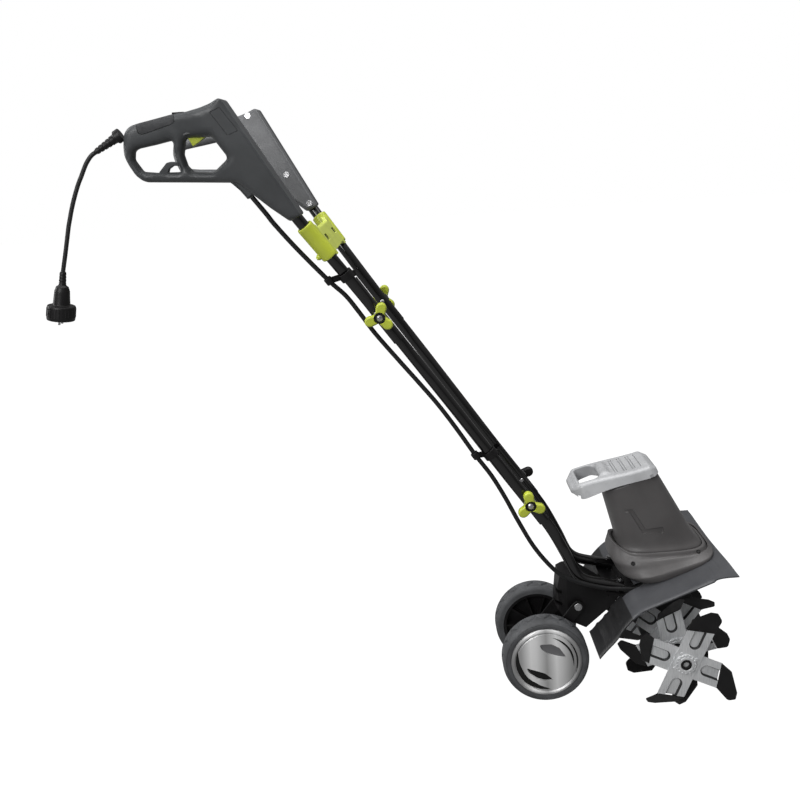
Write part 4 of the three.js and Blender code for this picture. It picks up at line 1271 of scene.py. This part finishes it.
def pressed_plate(name, outline, channels, front, back):
    """A steel sheet between two levels, with channels pressed through towards its back."""
    lines = [offset(channel, CHANNEL_WALL * share) for channel in channels
             for share in (0, 0.14, 0.5, 0.86, 1)]
    spots, faces, _ = sheet([outline], lines=lines)
    sink = math.copysign(PRESSING, back - front)
    drops = [0.0] * len(spots)
    for channel in channels:
        gaps = near_loop(spots, [channel])
        for i, (spot, gap) in enumerate(zip(spots, gaps)):
            if inside(spot, channel):
                drops[i] = sink * eased(gap, 0, CHANNEL_WALL)
    return sheet_body(name, spots, faces, [front + drop for drop in drops], [back + drop for drop in drops])


def bent_tip(bend, front, back, turn):
    """The end of an arm, coloured black as painted shade, bent sideways beyond the fold and ground to a dull
    edge.
    """
    outline = dense(rounded(TIP, [0.01, 5, 6, 4, 6, 0.01]), 5)
    tip = slab("tip", outline, min(front, back), max(front, back), edge=(1.6, 0.62), steps=2)
    (fold_x, fold_z), (low_x, low_z) = FOLD
    slope = (low_x - fold_x) / (low_z - fold_z)
    for vertex in tip.data.vertices:
        x, z = vertex.co.x / MM - TINE_AXLE_X, vertex.co.z / MM
        beyond = max(0, x - (fold_x + (z - fold_z) * slope))
        soft = beyond * beyond / (beyond + 3)
        vertex.co.y += bend * TIP_BEND * soft * MM
        vertex.co.x = ((x * math.cos(turn) - z * math.sin(turn)) + TINE_AXLE_X) * MM
        vertex.co.z = (x * math.sin(turn) + z * math.cos(turn)) * MM
    return tip


def add_star(number, plane, rest, bends):
    """One star, made on the right-hand side with its outer face towards -y, and its mirror image."""
    ends = [(FOLD[0][0] - 0.3, FOLD[0][1]), (FOLD[1][0] - 0.3, FOLD[1][1])]
    outline = [*ends, *[(-x, -z) for x, z in ends]]
    plates, tips = [], []
    for bar, (front, back) in enumerate(((-SHEET - 0.05, -0.05), (0.05, SHEET + 0.05))):
        angle = math.radians(rest + 90 * bar)
        plate = pressed_plate("bar", outline, [channel_outline(1), channel_outline(-1)], front, back)
        plate.data.transform(MACHINE @ Matrix.Rotation(-angle, 4, "Y") @ MACHINE.inverted())
        plates.append(plate)
        for end in (0, 1):
            tips.append(bent_tip(bends[bar + 2 * end], front, back, angle + math.pi * end))
    hub = arc_profile([(11.5, -7), (15.4, -7), (15.8, -5), (20.6, -4.6), (21, -2.6), (21, 2.6), (20.6, 6),
                       (11.5, 6), (11, 5.5), (11, -6.5), (11.5, -7)], 0.5)
    plates.append(turned("hub", hub, (0, 0, 0), (0, 1, 0), 48))
    for k in range(16):
        angle = 2 * math.pi * k / 16
        spot = Vector((18.2 * math.cos(angle), -4.4, 18.2 * math.sin(angle)))
        bead = arc_profile([(0, -2.0), (1.9, -1.5), (2.3, 0)], 0.4)
        plates.append(turned("bead", bead, spot, spot + Vector((0, 1, 0)), 8))
    for k in range(4):
        angle = math.radians(rest + 45 + 90 * k)
        tab = slab("tab", rounded([(20, -3.5), (26, -2.5), (26, 2.5), (20, 3.5)], 1.5), -SHEET - 1.6,
                   -SHEET + 0.2, edge=(0.5, 0.5), steps=2)
        tab.data.transform(MACHINE @ Matrix.Rotation(-angle, 4, "Y") @ MACHINE.inverted())
        plates.append(tab)
    steel = merged(f"tine_star_{number}_right_plate", plates)
    black = merged(f"tine_star_{number}_right_tips", tips)
    for obj in (steel, black):
        obj.data.transform(Matrix.Translation((0, -plane * MM, TINE_AXLE_Z * MM)))
    # the tips take the black steel look: painted shade
    for obj, slot_name, kind in ((steel, "tine_steel", "plate"), (black, "black_steel", "tips")):
        left = mirrored(obj, f"tine_star_{number}_left_{kind}")
        place_on(obj, "tines", slot_name, f"tine_star_{number}_right", angle=24)
        place_on(left, "tines", slot_name, f"tine_star_{number}_left", angle=24)
        if kind == "plate":
            paint_shade_on_channel_walls(obj)
            paint_shade_on_channel_walls(left)


def paint_shade_on_channel_walls(piece):
    """Paints shade on the walls of the pressed channels: a darker steel on their sloping faces."""
    piece.data.materials.append(CHANNEL_WALL_PAINTED_SHADE)
    for face in piece.data.polygons:
        across = face.center.x / MM - TINE_AXLE_X
        height = face.center.z / MM - TINE_AXLE_Z
        if 26 < math.hypot(across, height) < 72 and 0.12 < abs(face.normal.y) < 0.86:
            face.material_index = 1


for number, (plane, rest, bends) in enumerate(zip(STAR_PLANES, STAR_TURNS, STAR_BENDS), 1):
    add_star(number, plane, rest, bends)


# ---------------------------------------------------------------- transport wheels
WHEEL_RADIUS = 89
WHEEL_AXLE = (-261, WHEEL_RADIUS)
TREAD_BLOCKS = 18


def tyre_mesh(name):
    """The right tyre: a zig-zag groove round its tread, and a moulded ring on each shoulder."""
    section = [(-54.5, 72.8), (-54, 80), (-55, 84), (-57.5, 87), (-60, 88.4)]
    section += [(-62 - 1.6 * k, 89) for k in range(15)]
    section += [(-87.2, 88.3), (-90.5, 87), (-93.2, 84.6), (-94, 82.5), (-93.2, 81.6), (-94.3, 80.4),
                (-94.6, 77), (-94.2, 74), (-93.6, 72.8)]
    count = 360
    rings = []
    for y, radius in section:
        ring = []
        for i in range(count):
            angle = 2 * math.pi * i / count
            share = (i * TREAD_BLOCKS / count) % 1
            middle = -80 + 14 * abs(share * 2 - 1)
            size = radius
            if -84.5 <= y <= -62:
                size -= 3.0 * (1 - eased(abs(y - middle), 1.1, 2.6))
            elif y in (-60, -87.2):
                size -= 1.6 * (1 - eased(abs(share - 0.5), 0.06, 0.14))
            ring.append((WHEEL_AXLE[0] + size * math.cos(angle), y, WHEEL_AXLE[1] + size * math.sin(angle)))
        rings.append(ring)
    return loft(name, rings, closed=True)


def crescent(start, end, outer, inner, blunt=0.0, pieces=24):
    """An outline round the hub between two arcs; outer and inner give their radii at both ends."""
    rim, back = [], []
    for k in range(pieces + 1):
        share = k / pieces
        angle = math.radians(start + (end - start) * share)
        far = outer[0] + (outer[1] - outer[0]) * share
        near = inner[0] + (inner[1] - inner[0]) * share
        opening = min(1, 3.2 * share) ** 0.6
        closing = min(1, 3.2 * (1 - share) + blunt) ** 0.6
        near = far + (near - far) * max(blunt, opening * closing)
        rim.append((far * math.cos(angle), far * math.sin(angle)))
        back.append((near * math.cos(angle), near * math.sin(angle)))
    ends = (rim[0], rim[-1])
    return rim + [point for point in back[::-1] if min(math.dist(point, end) for end in ends) > 0.4]


def hubcap_cuts():
    """What is cut into the hubcap, drawn round its centre: the look of the floor, its depth, the outline."""
    lower_leaf = [(-42.6, -9), (-22, -16), (-4, -23), (11, -37), (8.6, -38.7), (-4, -39.6), (-20, -34),
                  (-36, -21.6)]
    upper_leaf = [(-13, 41), (10.4, 41), (26.6, 32), (41, 9), (21, 13.5), (1.4, 20.6), (-11, 32)]
    return [
        (1, 93.2, crescent(156, 276, (64, 60.5), (53, 47.5), 0.03)),
        (1, 93.2, rounded(lower_leaf, [2, 14, 14, 1.5, 1.5, 14, 14, 14])),
        (2, 94.2, rounded(upper_leaf, [4, 12, 16, 3, 30, 20, 12])),
        (1, 95.2, crescent(-12, 76, (56, 56), (52, 52), 0.05)),
        (1, 95.2, crescent(-26, 47, (64.4, 64.4), (61.6, 61.6), 0.05)),
    ]


def add_wheel():
    """The right wheel, and its mirror image."""
    x, z = WHEEL_AXLE
    tyre = tyre_mesh("tyre")
    rim_profile = arc_profile([(6.5, -88), (14, -88), (14, -76), (66, -75), (66, -91.8), (72.4, -92),
                               (72.4, -56), (66, -56), (66, -72), (14, -72), (14, -54), (6.5, -54),
                               (6.5, -88)], 1.2)
    rim = turned("rim", rim_profile, (x, 0, z), (x, 1, z), 72)
    ribs = []
    for k in range(10):
        angle = 2 * math.pi * k / 10
        turn = MACHINE @ Matrix.Translation((x, 0, z)) @ Matrix.Rotation(angle, 4, "Y")
        ribs.append(block("rib", (13, -74, -1.4), (67, -58, 1.4), turn))
    rim = merged("rim", [rim, *ribs])
    cap_profile = [(0, -98.6), (16, -98.4), (32, -97.9), (46, -97.2), (57, -96.4), (61, -96), (62.2, -95),
                   (63.4, -95), (64.8, -96.2), (66.5, -97.3), (69, -97.2), (71.2, -96), (72.3, -94.4),
                   (72.3, -92.3), (64, -92.3), (62, -90), (0, -90)]
    cap = turned("hubcap", cap_profile, (x, 0, z), (x, 1, z), 96)
    tools = []
    for _, depth, outline in hubcap_cuts():
        points = [(x + across, z + up) for across, up in outline]
        points = points if area(points) > 0 else points[::-1]
        tools.append(slab("slot", points, -101, -depth, edge=(0.01, 0.01), steps=1))
    cut(cap, *tools)
    for node, body_side in (("right", -1), ("left", 1)):
        for source, slot_name, kind in ((tyre, "tyre", "tyre"), (rim, "black_plastic", "rim"),
                                        (cap, "silver_plastic", "hubcap")):
            piece = source.copy()
            piece.data = source.data.copy()
            bpy.context.scene.collection.objects.link(piece)
            if body_side > 0:
                piece.data.transform(Matrix.Diagonal((1, -1, 1, 1)))
                recalculate(piece)
            piece.name = f"{kind}_{node}_finished"
            look = HUBCAP_PAINTED_REFLECTION if kind == "hubcap" else None
            place_on(piece, f"wheel_{node}", slot_name, f"{kind}_{node}", material=look, angle=30)
            if kind == "hubcap":
                darken_slots(piece)
    for source in (tyre, rim, cap):
        bpy.data.objects.remove(source)


def darken_slots(piece):
    """Paints the floors of what is cut into the hubcap."""
    piece.data.materials.append(DARK_RECESS)
    piece.data.materials.append(HUBCAP_GREY)
    for face in piece.data.polygons:
        spot = (face.center.x / MM - TINE_AXLE_X - WHEEL_AXLE[0], face.center.z / MM - WHEEL_AXLE[1])
        for look, depth, outline in hubcap_cuts():
            if abs(abs(face.center.y) / MM - depth) < 0.2 and inside(spot, outline):
                face.material_index = look


add_wheel()


# ---------------------------------------------------------------- motor cable and its clips
CABLE_ROUTE = [(-763, 158, 1075), (-741, 154, 1043), (-727, 150, 1021), (-691, 138, 972), (-640, 120, 908),
               (-612, 107, 876), (-588, 99.5, 839), (-562, 95, 797), (-520, 92, 740), (-486, 90, 695),
               (-450, 88, 646), (-417, 87, 595), (-382, 86, 537), (-353, 85, 493), (-328, 83, 445),
               (-304, 79, 392), (-277, 76, 338), (-250, 74, 298), (-224, 73, 270), (-189, 72, 250),
               (-135, 72, 233), (-94, 72, 228.5), (-68, 72, 228.5), (-52, 72, 236), (-47, 72, 247)]
CABLE_STEPS = 6                       # points between two given ones
CABLE_PIECES = (("cable_handle", 0, 5, "handle_upper"), ("cable_fold_upper", 5, 9, None),
                ("cable_middle", 9, 13, "handle_middle"), ("cable_fold_lower", 13, 17, None),
                ("cable_base", 17, 24, "power_head"))


def add_cable():
    route = smooth_route(on_right(CABLE_ROUTE), CABLE_STEPS)
    for name, first, last, body in CABLE_PIECES:
        line = route[first * CABLE_STEPS:last * CABLE_STEPS + 1]
        piece = sweep(f"{name}_line", line, CABLE_RADIUS, 20)
        if body:
            place_on(piece, body, "rubber_cable", name)
            continue
        smooth_shaded(piece)
        piece.data.materials.append(LOOKS["rubber_cable"])
        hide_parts(name)
        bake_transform(piece)


def add_clip(name, tube_at, cable_at, direction, body):
    """A strap clip: a band round the tube, a ring round the cable and a ribbed web between them."""
    along = Vector(direction).normalized()
    tube_at, cable_at = Vector(tube_at), Vector(cable_at)
    band = arc_profile([(TUBE_RADIUS + 0.7, -8), (TUBE_RADIUS + 3.6, -8), (TUBE_RADIUS + 3.6, 8),
                        (TUBE_RADIUS + 0.7, 8), (TUBE_RADIUS + 0.7, -8)], 1)
    ring = arc_profile([(CABLE_RADIUS + 0.2, -6.5), (CABLE_RADIUS + 3.2, -6.5), (CABLE_RADIUS + 3.2, 6.5),
                        (CABLE_RADIUS + 0.2, 6.5), (CABLE_RADIUS + 0.2, -6.5)], 0.9)
    across = cable_at - tube_at
    towards = across.normalized()
    normal = along.cross(towards).normalized()
    third = towards.cross(normal)
    start = tube_at + towards * (TUBE_RADIUS + 1.5)
    reach = across.length - TUBE_RADIUS - CABLE_RADIUS - 2.6
    turn = Matrix((towards, normal, third)).transposed().to_4x4()
    pieces = [turned("band", band, tube_at, tube_at + along, 40),
              turned("ring", ring, cable_at, cable_at + along, 32)]
    for low, high, half in ((-5.6, 5.6, 1.4), (-5.6, -4, 3), (4, 5.6, 3), (-0.8, 0.8, 3)):
        web = block("web", (0, -half, low), (reach, half, high))
        web.data.transform(MACHINE @ Matrix.Translation(start) @ turn @ MACHINE.inverted())
        pieces.append(web)
    latch = block("latch", (-3.4, -2.6, -6), (3.4, 2.6, 6))
    latch.data.transform(MACHINE @ Matrix.Translation(tube_at - towards * (TUBE_RADIUS + 4.4)) @ turn
                         @ MACHINE.inverted())
    softened(latch, 1, 2)
    place_on(merged(f"{name}_strap", [*pieces, latch]), body, "black_plastic", name)


add_cable()
add_clip("cable_clip_upper", (-607.5, -111.2, 915), (-640, -120, 908), (-0.55, -0.18, 0.82), "handle_upper")
add_clip("cable_clip_lower", (-352.5, -75.5, 535.5), (-382, -86, 537), (-0.555, -0.02, 0.83),
         "handle_middle")


# ---------------------------------------------------------------- cross bracket
SLEEVE = (Vector((-634, -121, 954)), Vector((-676, -137.5, 1015)))


def add_cross_bracket():
    """The lime bracket under the grips: a sleeve on each tube and the plate between them."""
    axis = (SLEEVE[1] - SLEEVE[0]).normalized()
    length = (SLEEVE[1] - SLEEVE[0]).length
    profile = arc_profile([(TUBE_RADIUS + 0.5, 0), (15.4, 0), (16, 3), (16, length - 3), (15.4, length),
                           (TUBE_RADIUS + 0.5, length), (TUBE_RADIUS + 0.5, 0)], 1.2)
    sleeve = turned("sleeve", profile, SLEEVE[0], SLEEVE[1], 48)
    lug_at = SLEEVE[0] + axis * 12
    lug = turned("lug", arc_profile([(0, 0), (6, 0), (6, 18), (4.5, 20.5), (0, 20.5)], 1.4),
                 lug_at, lug_at + Vector((-0.82, -0.1, -0.57)), 24)
    nut = turned("nut", arc_profile([(0, 20), (3.6, 20), (3.6, 22.4), (0, 22.4)], 0.4),
                 lug_at, lug_at + Vector((-0.82, -0.1, -0.57)), 16)
    sleeves = merged("bracket_sleeve_right", [sleeve, lug, nut])
    left = mirrored(sleeves, "bracket_sleeve_left")
    place_on(sleeves, "handle_upper", "lime", "cross_bracket")
    place_on(left, "handle_upper", "lime")

    outline = rounded([(-120, 956), (-92, 956), (-88, 962), (88, 962), (92, 956), (120, 956), (137, 1014),
                       (96, 1014), (90, 1006), (-90, 1006), (-96, 1014), (-137, 1014)], 4)
    window = rounded([(-92, 981), (-60, 981), (-60, 993), (-92, 993)], 2)
    plate = slab("bracket_plate", outline, -5, 5, edge=(2, 2), steps=4, plane="front", place=MACHINE)
    pockets = [slab("pocket", [(y * side, z) for y, z in window], 1.5, 12, edge=(0.1, 0.1), steps=1,
                    plane="front") for _, side in SIDES]
    cut(plate, *pockets)
    inlays = [slab("inlay", offset([(y * side, z) for y, z in window][::side], 0.3), -1, 2.6,
                   edge=(0.4, 0.4), steps=2, plane="front") for _, side in SIDES]
    inlay = merged("bracket_inlay", inlays)
    for piece in (plate, inlay):
        for vertex in piece.data.vertices:
            z = vertex.co.z / MM
            vertex.co.x += (-634 - (z - 954) * 0.689 + 11) * MM
    place_on(plate, "handle_upper", "lime", material=PALE_LIME)
    place_on(inlay, "handle_upper", "black_plastic")


add_cross_bracket()


# ---------------------------------------------------------------- pieces that keep their CAD shape
EDGE_WIDTHS = {
    "gear_case": 2.0, "frame_plate": 0.9, "wheel_bracket": 0.9, "carriage_bolt": 1.2,
    "carriage_arm_right": 1.0, "carriage_arm_left": 1.0, "wheel_axle": 0.8, "tine_shaft": 0.8,
    "trigger": 1.2, "lock_off_button": 1.0, "switch": 1.0, "tube_bolt_right": 0.7, "tube_bolt_left": 0.7,
}
for node, width in EDGE_WIDTHS.items():
    refined(node, width)

for node, obj in frame["nodes"].items():
    slot_name = obj.data.materials[0].name.split(".")[0]
    obj.data.materials[0] = LOOKS[slot_name]


# ---------------------------------------------------------------- floor and light
def add_floor():
    """A white floor for the camera and a dim grey one for mirrors; it casts no light on the machine."""
    side = 14
    corners = [(-side, -side, 0), (side, -side, 0), (side, side, 0), (-side, side, 0)]
    floor = make("floor", corners, [(0, 1, 2, 3)], Matrix.Identity(4))
    nodes = Nodes("floor")
    nodes.link(nodes.ramp(nodes.noise(3, 2), [(0.3, (0.1, 0.1, 0.1)), (0.7, (0.12, 0.12, 0.12))]),
               nodes.shader.inputs["Base Color"])
    nodes.shader.inputs["Emission Color"].default_value = (1, 1, 1, 1)
    mirrored_in = nodes.tree.nodes.new("ShaderNodeLightPath").outputs["Is Glossy Ray"]
    nodes.link(nodes.spread(mirrored_in, 1.0, 0.2, 0, 1), nodes.shader.inputs["Emission Strength"])
    nodes.shader.inputs["Roughness"].default_value = 0.9
    nodes.shader.inputs["Specular IOR Level"].default_value = 0.0
    floor.data.materials.append(nodes.material)
    floor.visible_diffuse = False


def add_area(name, place, target, size, power):
    data = bpy.data.lights.new(name, "AREA")
    data.shape = "RECTANGLE"
    data.size, data.size_y = size
    data.energy = power
    light = bpy.data.objects.new(name, data)
    light.location = place
    light.rotation_euler = (Vector(target) - Vector(place)).to_track_quat("-Z", "Y").to_euler()
    bpy.context.scene.collection.objects.link(light)


def add_world():
    """White behind the machine, and a soft sky that is brighter above than below to light it."""
    world = bpy.data.worlds.new("studio")
    world.use_nodes = True
    tree = world.node_tree
    backdrop = tree.nodes["Background"]
    backdrop.inputs["Color"].default_value = (1, 1, 1, 1)
    sky = tree.nodes.new("ShaderNodeBackground")
    direction = tree.nodes.new("ShaderNodeTexCoord").outputs["Generated"]
    parts = tree.nodes.new("ShaderNodeSeparateXYZ")
    tree.links.new(direction, parts.inputs[0])
    ramp = tree.nodes.new("ShaderNodeValToRGB")
    stops = ramp.color_ramp
    stops.elements[0].position, stops.elements[0].color = 0.0, (0.02, 0.02, 0.02, 1)
    stops.elements[1].position, stops.elements[1].color = 1.0, (0.95, 0.95, 0.95, 1)
    stops.elements.new(0.45).color = (0.05, 0.05, 0.05, 1)
    stops.elements.new(0.6).color = (0.3, 0.3, 0.3, 1)
    height = tree.nodes.new("ShaderNodeMapRange")
    height.inputs["From Min"].default_value = -1
    tree.links.new(parts.outputs["Z"], height.inputs["Value"])
    tree.links.new(height.outputs["Result"], ramp.inputs["Fac"])
    tree.links.new(ramp.outputs["Color"], sky.inputs["Color"])
    sky.inputs["Strength"].default_value = 0.55
    chooser = tree.nodes.new("ShaderNodeMixShader")
    tree.links.new(tree.nodes.new("ShaderNodeLightPath").outputs["Is Camera Ray"], chooser.inputs["Fac"])
    tree.links.new(sky.outputs[0], chooser.inputs[1])
    tree.links.new(backdrop.outputs[0], chooser.inputs[2])
    tree.links.new(chooser.outputs[0], tree.nodes["World Output"].inputs["Surface"])
    bpy.context.scene.world = world
    bpy.context.scene.view_settings.view_transform = "Standard"


add_floor()
add_world()
add_area("key", (-1.4, -2.4, 1.9), (0.1, 0, 0.55), (1.5, 1.5), 48)
add_area("top", (0.2, -0.2, 3.0), (0.1, 0, 0.5), (2.6, 1.4), 42)
add_area("strip", (-2.2, 0.4, 1.6), (0, 0, 0.5), (0.5, 2.0), 18)
